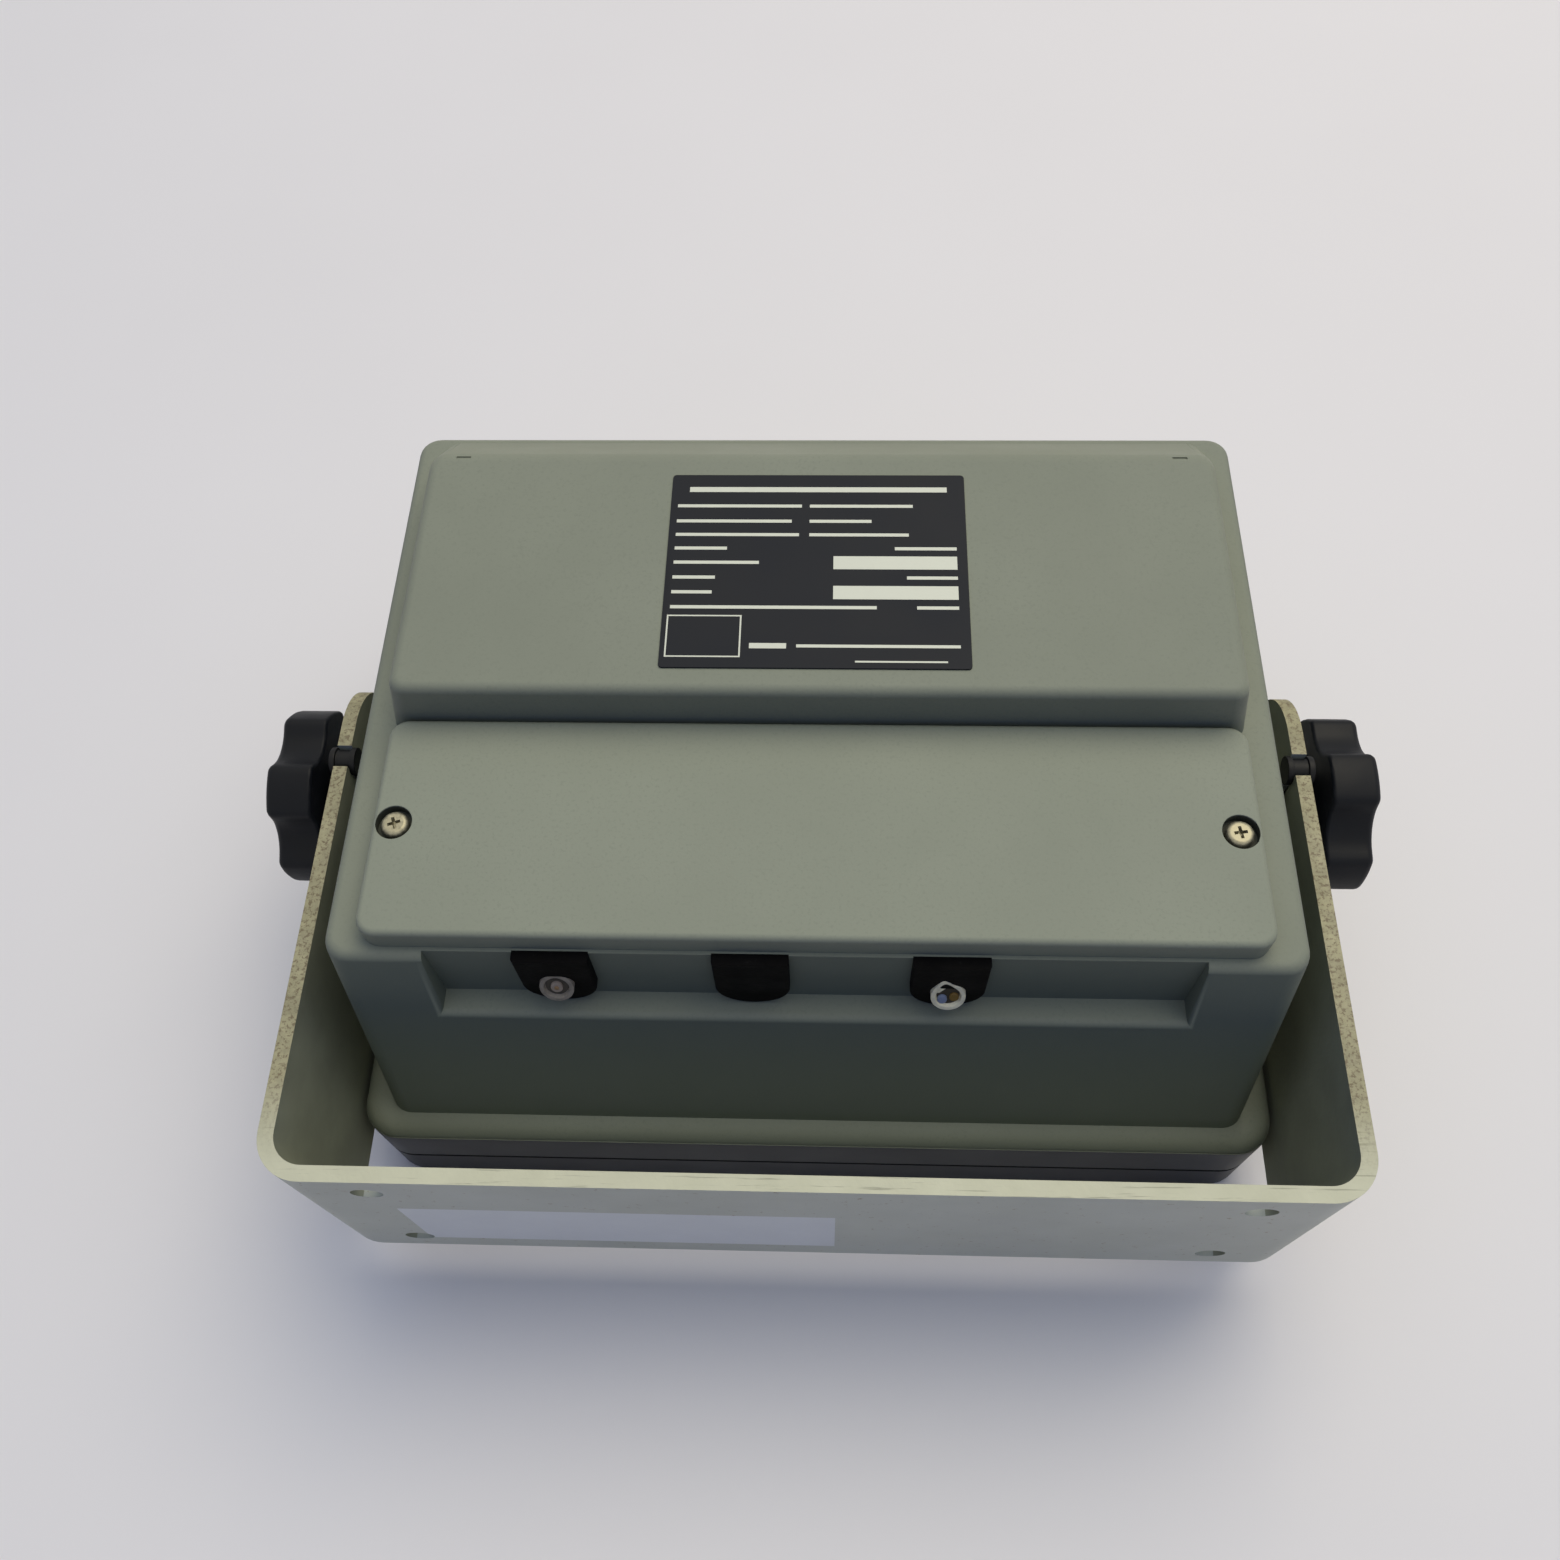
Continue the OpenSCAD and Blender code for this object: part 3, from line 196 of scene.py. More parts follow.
class BracketSizes(PropertyGroup):
    """Sizes of the U bracket."""
    plate_t: length("Plate", "Thickness of the bracket's plate", 4)
    bend_r: length("Bend", "Inside radius of the bends", 8)
    arm_r: length("Arm corners", "Radius of the corners at the ends of the arms", 19)
    slot_w: length("Slot", "Width of the open slots in the arms", 6.6)
    hole_d: length("Hole", "Diameter of the base holes", 8)
    hole_pitch: length("Hole pitch", "Distance between the two pairs of base holes", 217)
    hole_edge: length("Hole edge", "Distance from the edge of the strip to a base hole", 11.5)
    edge: length("Edge", "Softening of the sheared edges", 0.5)
    keeper_t: length("Keeper head", "Thickness of the heads of the keepers in the slots", 1.6)
    keeper_edge: length("Keeper edge", "Softening of the keepers' edges", 0.3)
    label_x: length("Label left", "Where the blank paper label starts", -105.5)
    label_w: length("Label width", "Width of the blank paper label", 112)
    label_z: length("Label foot", "Height of the label's lower edge", 33)
    label_h: length("Label height", "Height of the blank paper label", 37)


class KnobSizes(PropertyGroup):
    """Sizes of the star knobs."""
    lobes: IntProperty(name="Lobes", description="Number of lobes", default=5, min=3, max=9)
    lobe_t: length("Lobe depth", "Thickness of the lobed part along its axis", 13)
    hollow_r: length("Hollow", "Radius of the hollows between the lobes", 11)
    hollow_depth: length("Hollow depth", "How deep the hollows go", 5)
    face_edge: length("Face edge", "Rounding towards the outer face", 2.0)
    back_edge: length("Back edge", "Rounding towards the bracket", 1.1)
    ease: degrees("Ease", "Angle over which the outline's corners are eased", 2)
    hub_d: length("Hub", "Diameter of the hub", 20)
    hub_overlap: length("Hub overlap", "How far the hub reaches into the lobed part", 2)
    dish_depth: length("Dish depth", "Depth of the round dish in the outer face", 1)
    dish_rim: length("Dish rim", "How far the dish stays inside the hub's outline", 1)
    bore_d: length("Bore", "Diameter of the bore for the stud", 6.04)
    left_turn: degrees("Left turn", "Angle at which the left knob stands", 11)
    right_turn: degrees("Right turn", "Angle at which the right knob stands", -27)


class Colours(PropertyGroup):
    """Colours of the finishes that show most."""
    case: colour("Case", "Grey-green of the mouldings", "82846F")
    # Painted shade: the walls below the ledge are drawn darker and bluer than the case, as they lie in shade;
    # no dust is painted
    walls: colour("Walls", "Darker green of the walls below the ledge, where no dust lies", "686E5F")
    front: colour("Front", "Near black of the front panel", "191C21")
    band: colour("Band", "Dark grey of the band round the flange", "2A2D2F")
    bracket: colour("Bracket", "Enamel of the bracket", "B6B8A6")
    # Partly grime and partly painted shade: the arms' inner faces lie in shade between the case and the arms
    inner: colour("Bracket inside", "Rubbed and grimy enamel inside the arms", "8B8C73")
    edge: colour("Bracket edge", "Cream primer that shows on the sheared edges", "C4C09E")
    grime: colour("Grime", "Brown of the specks on the enamel", "6E5E3E")
    knob: colour("Knob", "Black of the star knobs", "0D0F13")
    plate: colour("Plate", "Black of the nameplate", "1B1D21")
    field: colour("Field", "Cream of the blank fields on the nameplate", "CCCBB1")
    floor: colour("Floor", "Pale table top", "E1DACF")


class StageSizes(PropertyGroup):
    """Camera, table top and light."""
    camera: point("Camera", "Place of the camera", (4.95*MM, -185.4*MM, 433.2*MM))
    aim: point("Aim", "Point that the camera looks at", (-8.6*MM, -14.05*MM, 122*MM))
    roll: degrees("Roll", "Turn of the camera about its line of sight", -3.39)
    lens: number("Lens", "Focal length in millimetres", 32.31)
    sensor: number("Sensor", "Width of the camera's sensor in millimetres", 36)
    clip: length("Clip", "Least distance that the camera shows", 10)
    table: length("Table", "Width of the table top", 8000)
    lamp: point("Lamp", "Place of the broad lamp", (0.5, 0.75, 2.0))
    lamp_size: length("Lamp size", "Width of the broad lamp", 1600)
    lamp_power: FloatProperty(name="Lamp power", description="Power of the broad lamp", default=26,
                              unit="POWER")
    lamp_colour: FloatVectorProperty(name="Lamp colour", description="Warm white of the broad lamp",
                                     default=(1.0, 0.92, 0.74), subtype="COLOR")
    sky_side: FloatVectorProperty(name="Bright side", description="Where the room is brightest",
                                  subtype="DIRECTION", default=(0.1, 0.2, 0.97))
    sky: number("Sky", "Strength of the light from the room", 1.65)
    sky_edge: number("Sky edge", "Where the bright side of the room starts", 0.45)
    sky_bright: colour("Bright sky", "Light from the bright side of the room", "CDD9EE")
    sky_dim: colour("Dim sky", "Light from the dim side of the room", "0C2A66")
    backdrop: colour("Backdrop", "Colour that stands behind the table top", "E6E4E1")


# Modelling by hand
def begin():
    """Leave edit mode and deselect everything."""
    if bpy.context.mode != "OBJECT":
        bpy.ops.object.mode_set(mode="OBJECT")
    bpy.ops.object.select_all(action="DESELECT")


def activate(piece):
    """Select one piece alone and make it the active one."""
    begin()
    piece.select_set(True)
    bpy.context.view_layer.objects.active = piece


def settle_place(name):
    """Name the new object and move its place into its mesh."""
    piece = bpy.context.object
    piece.name = name
    piece.data.name = name
    bpy.ops.object.transform_apply(location=True, rotation=True, scale=True)
    return piece


def add_box(name, low, high):
    """Start a piece from a box between two corners."""
    begin()
    low, high = Vector(low), Vector(high)
    bpy.ops.mesh.primitive_cube_add(size=1, location=(low + high)/2, scale=high - low)
    return settle_place(name)


def add_rod(name, start, end, radius, sides=48):
    """Start a piece from a cylinder between two points of its axis."""
    begin()
    start, end = Vector(start), Vector(end)
    axis = end - start
    bpy.ops.mesh.primitive_cylinder_add(vertices=sides, radius=radius, depth=axis.length,
                                        location=(start + end)/2,
                                        rotation=axis.to_track_quat("Z", "Y").to_euler())
    return settle_place(name)


@contextmanager
def editing(piece):
    """Edit mode on one piece."""
    activate(piece)
    bpy.ops.object.mode_set(mode="EDIT")
    yield piece
    bpy.ops.object.mode_set(mode="OBJECT")


def middle(item):
    """Middle of an edge or a face."""
    return sum((v.co for v in item.verts), Vector())/len(item.verts)


def run(edge, axis):
    """How far an edge runs along an axis."""
    return abs(edge.verts[0].co[axis] - edge.verts[1].co[axis])


def select(kind, test):
    """In edit mode, select only the edges or faces that pass a test."""
    piece = bpy.context.edit_object
    bpy.ops.mesh.select_mode(type=kind)
    bpy.ops.mesh.select_all(action="DESELECT")
    mesh = bmesh.from_edit_mesh(piece.data)
    mesh.normal_update()
    chosen = [item for item in (mesh.faces if kind == "FACE" else mesh.edges) if test(item)]
    if not chosen:
        raise RuntimeError(f"nothing to select on {piece.name}")
    for item in chosen:
        item.select_set(True)
    mesh.select_flush_mode()
    bmesh.update_edit_mesh(piece.data)


def bevel(width, segments, test):
    """Round the edges that pass a test."""
    select("EDGE", test)
    bpy.ops.mesh.bevel(offset=width, segments=segments, affect="EDGES", clamp_overlap=False)


def score(piece, lines, test):
    """Cut the faces that pass a test along lines, each given by a point and a direction across it."""
    with editing(piece):
        for place, across in lines:
            select("FACE", test)
            bpy.ops.mesh.bisect(plane_co=place, plane_no=across)


def fit_selection(low, high):
    """Resize and move what is selected to fill a box."""
    mesh = bmesh.from_edit_mesh(bpy.context.edit_object.data)
    points = [v.co for v in mesh.verts if v.select]
    old_low = Vector([min(p[i] for p in points) for i in range(3)])
    old_high = Vector([max(p[i] for p in points) for i in range(3)])
    old, new = old_high - old_low, Vector(high) - Vector(low)
    ratio = [new[i]/old[i] if old[i] > NEAR else 1 for i in range(3)]
    centre = (old_low + old_high)/2
    bpy.ops.transform.resize(value=ratio, center_override=centre)
    bpy.ops.transform.translate(value=(Vector(low) + Vector(high))/2 - centre)


def extrude_to(low, high):
    """Extrude the selected face and fit the new one to a box."""
    bpy.ops.mesh.extrude_region()
    fit_selection(low, high)


def rim(edge, z):
    """True for an edge at height z between a level face and a face that goes down from it."""
    if not all_at(edge, Z, z) or len(edge.link_faces) != 2:
        return False
    lower, level = sorted(edge.link_faces, key=lambda f: f.normal.z)
    return level.normal.z > STRAIGHT and lower.normal.z < STEEP and middle(lower).z < z - NEAR


def all_at(edge, axis, value):
    """True for an edge whose two ends lie at one value along an axis."""
    return all(abs(v.co[axis] - value) < NEAR for v in edge.verts)


def apply_modifiers(piece):
    """Apply every modifier of a piece, in order."""
    activate(piece)
    for modifier in list(piece.modifiers):
        bpy.ops.object.modifier_apply(modifier=modifier.name)


def carve(piece, cutter, operation="DIFFERENCE"):
    """Cut one shape out of a piece, or join it on, and remove the shape."""
    modifier = piece.modifiers.new("carve", "BOOLEAN")
    modifier.operation = operation
    modifier.solver = "MANIFOLD"
    modifier.object = cutter
    apply_modifiers(piece)
    bpy.data.objects.remove(cutter)
    if not any(piece.data.materials):
        piece.data.materials.clear()


def join(first, *others):
    """Join pieces into the first one."""
    activate(first)
    for piece in others:
        piece.select_set(True)
    bpy.ops.object.join()
    return first


def copy_of(piece, name):
    """A copy of a piece with its own mesh."""
    twin = piece.copy()
    twin.data = piece.data.copy()
    twin.name = name
    twin.data.name = name
    bpy.context.scene.collection.objects.link(twin)
    return twin


def move(piece, offset, turn=(0, 0, 0)):
    """Turn a piece about the origin, move it and put its place into its mesh."""
    activate(piece)
    piece.rotation_euler = Euler(turn)
    piece.location = offset
    bpy.ops.object.transform_apply(location=True, rotation=True, scale=True)
    return piece


def soften(piece, width, segments=2):
    """Round every sharp edge of a piece a little."""
    modifier = piece.modifiers.new("soften", "BEVEL")
    modifier.width = width
    modifier.segments = segments
    modifier.limit_method = "ANGLE"
    modifier.angle_limit = math.radians(SOFTENED)
    apply_modifiers(piece)


def paint(piece, material, test):
    """Give the faces that pass a test one of the piece's materials."""
    with editing(piece):
        select("FACE", test)
        piece.active_material_index = piece.data.materials.find(material)
        bpy.ops.object.material_slot_assign()


def settle(piece, body, slot, *nodes, angle=SHARP):
    """Smooth a finished piece, give it its finish and let it ride on its body in place of CAD nodes."""
    activate(piece)
    bpy.ops.object.shade_smooth_by_angle(angle=math.radians(angle))
    modifier = piece.modifiers.new("even", "WEIGHTED_NORMAL")
    modifier.keep_sharp = True
    modifier.weight = LARGE_FACES
    apply_modifiers(piece)
    if not piece.data.materials:
        piece.data.materials.append(finish(slot))
    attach(piece, body)
    if nodes:
        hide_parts(*nodes)
    return piece


# Materials
def node(tree, kind, inputs=(), **settings):
    """Add a shader node, set its own fields, and set or link its inputs."""
    made = tree.nodes.new(kind)
    for field, value in settings.items():
        setattr(made, field, value)
    for socket, value in dict(inputs).items():
        if isinstance(value, bpy.types.NodeSocket):
            tree.links.new(value, made.inputs[socket])
        else:
            made.inputs[socket].default_value = value
    return made


def surface(name, **sockets):
    """Start a material on a Principled shader whose constant sockets are set."""
    made = bpy.data.materials.new(name)
    made.use_nodes = True
    tree = made.node_tree
    shader = tree.nodes["Principled BSDF"]
    for socket, value in sockets.items():
        shader.inputs[socket.replace("_", " ").title().replace("Ior", "IOR")].default_value = value
    place = node(tree, "ShaderNodeTexCoord").outputs["Object"]
    return made, tree, shader, place


def shade(rgba, factor):
    """A colour made lighter or darker."""
    return tuple(min(1.0, c*factor) for c in rgba[:3]) + (1.0,)


def mottled(tree, place, rgba, size, spread):
    """Colour that wanders a little about a middle value, in patches of a real size."""
    patches = node(tree, "ShaderNodeTexNoise", {"Vector": place, "Scale": 1/size, "Detail": 3.0,
                                                "Roughness": 0.6})
    ramp = node(tree, "ShaderNodeValToRGB", {"Fac": patches.outputs["Fac"]})
    ends = ((NOISE_LOW, 1 - spread), (NOISE_HIGH, 1 + spread))
    for element, (position, factor) in zip(ramp.color_ramp.elements, ends):
        element.position = position
        element.color = shade(rgba, factor)
    return ramp.outputs["Color"]


def specks(tree, place, under, rgba, size, share):
    """A colour with specks of another, of a real size, over about a given share of it."""
    grains = node(tree, "ShaderNodeTexNoise", {"Vector": place, "Scale": 1/size, "Detail": 4.0,
                                               "Roughness": 0.7})
    # Found by trial: between these two levels the noise passes from bare to covered at about that share
    bare, covered = 0.66 - 0.36*share, 0.74 - 0.30*share
    cut = node(tree, "ShaderNodeMapRange", {"Value": grains.outputs["Fac"], "From Min": bare,
                                            "From Max": covered}).outputs["Result"]
    return node(tree, "ShaderNodeMix", {FACTOR: cut, UNDER: under, OVER: rgba},
                data_type="RGBA").outputs[MIXED]


def painted_wall_shade(tree, place):
    """How much painted shade a spot gets, from 0 on faces that look up to 1 on walls below the ledge."""
    # The painted shade grows as the Z of a face's normal drops between two values, and between two heights
    lean, wall = 0.85, 0.2
    unshaded_z, clear = 132*MM, 121*MM
    facing = node(tree, "ShaderNodeTexCoord").outputs["Normal"]
    up = node(tree, "ShaderNodeSeparateXYZ", {"Vector": facing}).outputs["Z"]
    height = node(tree, "ShaderNodeSeparateXYZ", {"Vector": place}).outputs["Z"]
    upright = node(tree, "ShaderNodeMapRange", {"Value": up, "From Min": lean, "From Max": wall})
    below = node(tree, "ShaderNodeMapRange", {"Value": height, "From Min": unshaded_z, "From Max": clear})
    both = node(tree, "ShaderNodeMath", {0: upright.outputs["Result"], 1: below.outputs["Result"]},
                operation="MULTIPLY")
    return both.outputs[0]


def grained(tree, shader, place, size, depth, strength=1.0):
    """Bump of a real grain size and depth."""
    grain = node(tree, "ShaderNodeTexNoise", {"Vector": place, "Scale": 1/size, "Detail": 2.0})
    bump = node(tree, "ShaderNodeBump", {"Height": grain.outputs["Fac"], "Distance": depth,
                                         "Strength": strength})
    tree.links.new(bump.outputs["Normal"], shader.inputs["Normal"])


def worn_gloss(tree, shader, place, size, low, high):
    """Roughness that wanders between two values in patches of a real size."""
    patches = node(tree, "ShaderNodeTexNoise", {"Vector": place, "Scale": 1/size, "Detail": 3.0})
    spread = node(tree, "ShaderNodeMapRange", {"Value": patches.outputs["Fac"], "From Min": NOISE_LOW,
                                               "From Max": NOISE_HIGH, "To Min": low, "To Max": high})
    tree.links.new(spread.outputs["Result"], shader.inputs["Roughness"])


def plain_finish(name, rgba, patch, spread, rough, grain, depth, **sockets):
    """A mottled, grained surface with a wandering gloss.

    The numbers are the patches' size and spread, the range of roughness, and the grain's size and depth,
    with sizes in millimetres.
    """
    made, tree, shader, place = surface(name, **sockets)
    tree.links.new(mottled(tree, place, rgba, patch*MM, spread), shader.inputs["Base Color"])
    worn_gloss(tree, shader, place, patch*MM, *rough)
    grained(tree, shader, place, grain*MM, depth*MM)
    return made


def case_plastic(colours, name="moulded_abs", lift=1.0):
    # ABS, injection moulded with a spark-eroded grain: dull grey-green with a fine even tooth; the walls
    # below the ledge carry painted shade
    made, tree, shader, place = surface(name, ior=1.53, specular_ior_level=0.2)
    plain = shade(tuple(colours.case), lift)
    base = mottled(tree, place, plain, 45*MM, 0.035)
    fine = specks(tree, place, base, shade(plain, 0.93), 0.9*MM, 0.35)
    # Painted shade: below the ledge, faces that don't look up are drawn in the darker, bluer wall colour
    clean = shade(tuple(colours.walls), lift)
    mixed = node(tree, "ShaderNodeMix", {FACTOR: painted_wall_shade(tree, place), UNDER: fine, OVER: clean},
                 data_type="RGBA").outputs[MIXED]
    tree.links.new(mixed, shader.inputs["Base Color"])
    worn_gloss(tree, shader, place, 30*MM, 0.56, 0.68)
    grained(tree, shader, place, 0.7*MM, 0.05*MM, 0.6)
    return made


def front_plastic(colours):
    # ABS, injection moulded smooth: near black with a satin sheen
    return plain_finish("satin_abs", tuple(colours.front), 40, 0.05, (0.42, 0.52), 0.8, 0.02, ior=1.53,
                        specular_ior_level=0.3)


def band_plastic(colours):
    # ABS of the flange, coated dark grey below its groove: smooth with a satin sheen
    return plain_finish("coated_abs", tuple(colours.band), 40, 0.05, (0.42, 0.52), 0.8, 0.02, ior=1.53,
                        specular_ior_level=0.3)


def bracket_paint(colours):
    # Stove enamel on aluminium plate: pale, slightly orange-peeled, with grime in patches
    made, tree, shader, place = surface("stove_enamel", ior=1.5)
    base = mottled(tree, place, tuple(colours.bracket), 35*MM, 0.06)
    fine = specks(tree, place, base, shade(tuple(colours.grime), 1.6), 2.2*MM, 0.06)
    tree.links.new(fine, shader.inputs["Base Color"])
    worn_gloss(tree, shader, place, 25*MM, 0.42, 0.58)
    grained(tree, shader, place, 2.5*MM, 0.04*MM, 0.5)
    return made


def bracket_inner(colours):
    # The same enamel on the inside of the arms, dulled to olive: partly grime, partly painted shade from
    # between the case and the arms
    return plain_finish("grimy_shaded_enamel", tuple(colours.inner), 20, 0.14, (0.55, 0.7), 1.5, 0.05)


def bracket_edge(colours):
    # Sheared edge of the same plate: cream primer, nearly clean on the base and brown with grime on the arms
    made, tree, shader, place = surface("rubbed_primer", ior=1.5)
    cream = tuple(colours.edge)
    # The base's edge is rubbed lengthwise, so its specks are drawn out along it
    drawn = node(tree, "ShaderNodeMapping", {"Vector": place, "Scale": (0.04, 1, 1)}).outputs["Vector"]
    clean = specks(tree, drawn, mottled(tree, place, cream, 14*MM, 0.05), shade(cream, 0.6), 0.9*MM, 0.2)
    olive = mottled(tree, place, linear("9C946E"), 4*MM, 0.2)
    soiled = specks(tree, place, olive, linear("75684A"), 1.1*MM, 0.45)
    # Along the bends one passes into the other
    base_end, arm_start = -107*MM, -86*MM
    along = node(tree, "ShaderNodeSeparateXYZ", {"Vector": place}).outputs["Y"]
    arms = node(tree, "ShaderNodeMapRange", {"Value": along, "From Min": base_end, "From Max": arm_start})
    mixed = node(tree, "ShaderNodeMix", {FACTOR: arms.outputs["Result"], UNDER: clean, OVER: soiled},
                 data_type="RGBA").outputs[MIXED]
    tree.links.new(mixed, shader.inputs["Base Color"])
    worn_gloss(tree, shader, place, 6*MM, 0.55, 0.75)
    grained(tree, shader, place, 1.2*MM, 0.12*MM, 0.8)
    return made


def knob_plastic(colours):
    # Phenolic, compression moulded: near black with a soft polish rubbed unevenly
    return plain_finish("moulded_phenolic", tuple(colours.knob), 12, 0.18, (0.42, 0.56), 1.0, 0.03,
                        ior=1.6, specular_ior_level=0.14)


def plate_film(colours):
    # Printed polyester film: black with a satin face
    return plain_finish("printed_film", tuple(colours.plate), 20, 0.1, (0.5, 0.6), 0.9, 0.01, ior=1.6,
                        specular_ior_level=0.12)


def plate_field(colours):
    # Unprinted part of the same film: cream and satin
    return plain_finish("blank_field", tuple(colours.field), 8, 0.03, (0.4, 0.5), 0.9, 0.01, ior=1.6)


def paper_label(colours):
    # Coated paper label: white and slightly fibrous
    return plain_finish("label_paper", linear("D6D8D1"), 14, 0.03, (0.5, 0.62), 0.8, 0.02)


def grommet_rubber(colours):
    # EPDM rubber, moulded: black and dull, with a little dust
    made, tree, shader, place = surface("moulded_rubber", ior=1.52, specular_ior_level=0.05)
    base = mottled(tree, place, linear("060607"), 10*MM, 0.25)
    tree.links.new(specks(tree, place, base, linear("1A1A19"), 1.5*MM, 0.04), shader.inputs["Base Color"])
    worn_gloss(tree, shader, place, 8*MM, 0.55, 0.75)
    grained(tree, shader, place, 1.0*MM, 0.06*MM)
    return made


def gasket_rubber(colours):
    # Closed-cell strip: black and dull
    return plain_finish("cellular_strip", linear("070708"), 5, 0.2, (0.7, 0.85), 0.9, 0.1,
                        specular_ior_level=0.1)


def screw_steel(colours):
    # Steel, nickel plated and handled: bright with a warm tarnish
    return plain_finish("plated_steel", linear("9C9780"), 1.2, 0.3, (0.38, 0.6), 0.6, 0.03, metallic=0.85)


def stud_steel(colours):
    # Steel bar, ground and zinc plated: pale grey with fine marks
    return plain_finish("ground_steel", linear("BFBFBA"), 6, 0.08, (0.25, 0.4), 0.5, 0.01, metallic=1.0)


def sheet_steel(colours):
    # Steel sheet, zinc plated: grey with faint spangle
    return plain_finish("zinc_sheet", linear("B4B6B4"), 7, 0.12, (0.3, 0.5), 0.8, 0.01, metallic=1.0)


def insert_brass(colours):
    # Brass, turned: yellow and bright with a fine tooth
    return plain_finish("turned_brass", linear("C9A867"), 3, 0.1, (0.22, 0.36), 0.4, 0.01, metallic=1.0)


def coax_sheath(colours):
    # PVC sheath, cut across: grey and dull
    return plain_finish("grey_pvc", linear("857B69"), 2, 0.3, (0.45, 0.6), 0.7, 0.04)


def power_sheath(colours):
    # PVC sheath, cut across: off-white, yellowed
    return plain_finish("white_pvc", linear("F0E2B8"), 3, 0.18, (0.42, 0.55), 0.7, 0.04)


def cut_layer(name, code):
    """Cut end of one layer of a cable: small patches, a fine tooth and a soft sheen."""
    return plain_finish(name, linear(code), 1.5, 0.12, (0.35, 0.5), 0.5, 0.02)


def braid(colours):
    # Copper braid, cut through and tarnished: brown-black and dull
    return cut_layer("braid", "332D27")


def dielectric(colours):
    # Polyethylene round the inner wire, cut across: dull grey-brown
    return cut_layer("dielectric", "9C8B76")


def conductor(colours):
    # Copper wire, cut across: dull brown
    return cut_layer("conductor", "8F6F45")


def filler(colours):
    # Fibre filling between the cores, soiled: nearly black
    return cut_layer("filler", "1E1810")


def blue_core(colours):
    # PVC insulation of one core: greyish blue and smooth
    return cut_layer("blue_core", "7D8798")


def brown_core(colours):
    # PVC insulation of the other core: brown and smooth
    return cut_layer("brown_core", "6E5319")


def socket_nickel(colours):
    # Nickel-plated brass: bright and slightly warm
    return plain_finish("nickel_plate", linear("CAC8C2"), 5, 0.06, (0.15, 0.3), 0.6, 0.01, metallic=1.0)


def terminal_plastic(colours):
    # Glass-filled nylon, moulded: black and dull
    return plain_finish("filled_nylon", linear("1B1C1C"), 6, 0.2, (0.5, 0.65), 0.8, 0.03)


def washer_nylon(colours):
    # Nylon, moulded: black and slightly waxy
    return plain_finish("black_nylon", linear("101011"), 6, 0.2, (0.5, 0.62), 0.8, 0.02,
                        specular_ior_level=0.25)


def board(colours):
    # Glass-epoxy board under green solder resist: tracks show as a paler grid, 6 mm by 2 mm
    made, tree, shader, place = surface("solder_resist", ior=1.55)
    tracks = node(tree, "ShaderNodeTexBrick", {
        "Vector": place, "Color1": linear("1F5A34"), "Color2": linear("236239"), "Mortar": linear("3C8455"),
        "Scale": 1/MM, "Mortar Size": 0.12, "Brick Width": 6.0, "Row Height": 2.0})
    tree.links.new(tracks.outputs["Color"], shader.inputs["Base Color"])
    worn_gloss(tree, shader, place, 15*MM, 0.25, 0.38)
    return made


def tin_screen(colours):
    # Tinned steel, pressed: soft grey with cloudy bright patches
    return plain_finish("tinned_steel", linear("BDBDB8"), 9, 0.1, (0.28, 0.45), 0.8, 0.01, metallic=1.0)


def converter_black(colours):
    # Aluminium extrusion, black anodised: dark with a metal sheen
    return plain_finish("black_anodise", linear("26272A"), 8, 0.12, (0.35, 0.5), 0.6, 0.01, metallic=0.6)


def switch_black(colours):
    # Polyamide, moulded: black and satin
    return plain_finish("switch_polyamide", linear("1C1D1E"), 3, 0.15, (0.4, 0.55), 0.6, 0.02)


def window_clear(colours):
    # Acrylic sheet: clear with a faint green tint and light scuffs
    made, tree, shader, place = surface("clear_acrylic", ior=1.49, transmission_weight=0.92)
    tree.links.new(mottled(tree, place, linear("DDE6E2"), 20*MM, 0.03), shader.inputs["Base Color"])
    worn_gloss(tree, shader, place, 9*MM, 0.03, 0.12)
    return made


def display_glass(colours):
    # Reflective liquid-crystal glass: grey-green with a half-millimetre grid of cells
    made, tree, shader, place = surface("liquid_crystal", ior=1.52)
    cells = node(tree, "ShaderNodeTexBrick", {
        "Vector": place, "Color1": linear("8A9678"), "Color2": linear("8E9A7C"), "Mortar": linear("98A387"),
        "Scale": 2/MM, "Mortar Size": 0.1, "Brick Width": 1.0, "Row Height": 1.0}, offset=0.0)
    tree.links.new(cells.outputs["Color"], shader.inputs["Base Color"])
    worn_gloss(tree, shader, place, 10*MM, 0.12, 0.22)
    return made


def lens_amber(colours):
    # Acrylic lens, moulded: amber and glossy
    made, tree, shader, place = surface("amber_acrylic", ior=1.49, transmission_weight=0.4)
    tree.links.new(mottled(tree, place, linear("D8842A"), 2*MM, 0.1), shader.inputs["Base Color"])
    worn_gloss(tree, shader, place, 3*MM, 0.08, 0.16)
    return made


def buzzer_black(colours):
    # Polycarbonate case, moulded: black and satin
    return plain_finish("buzzer_case", linear("18191A"), 5, 0.2, (0.4, 0.55), 0.8, 0.03)


def head_ceramic(colours):
    # Alumina with a glass glaze: pale grey-brown and glossy
    return plain_finish("glazed_alumina", linear("A8A294"), 6, 0.06, (0.15, 0.28), 0.6, 0.01)


def motor_can(colours):
    # Drawn steel can, zinc plated: warm grey
    return plain_finish("drawn_can", linear("A9A9A4"), 6, 0.08, (0.3, 0.45), 0.7, 0.01, metallic=1.0)


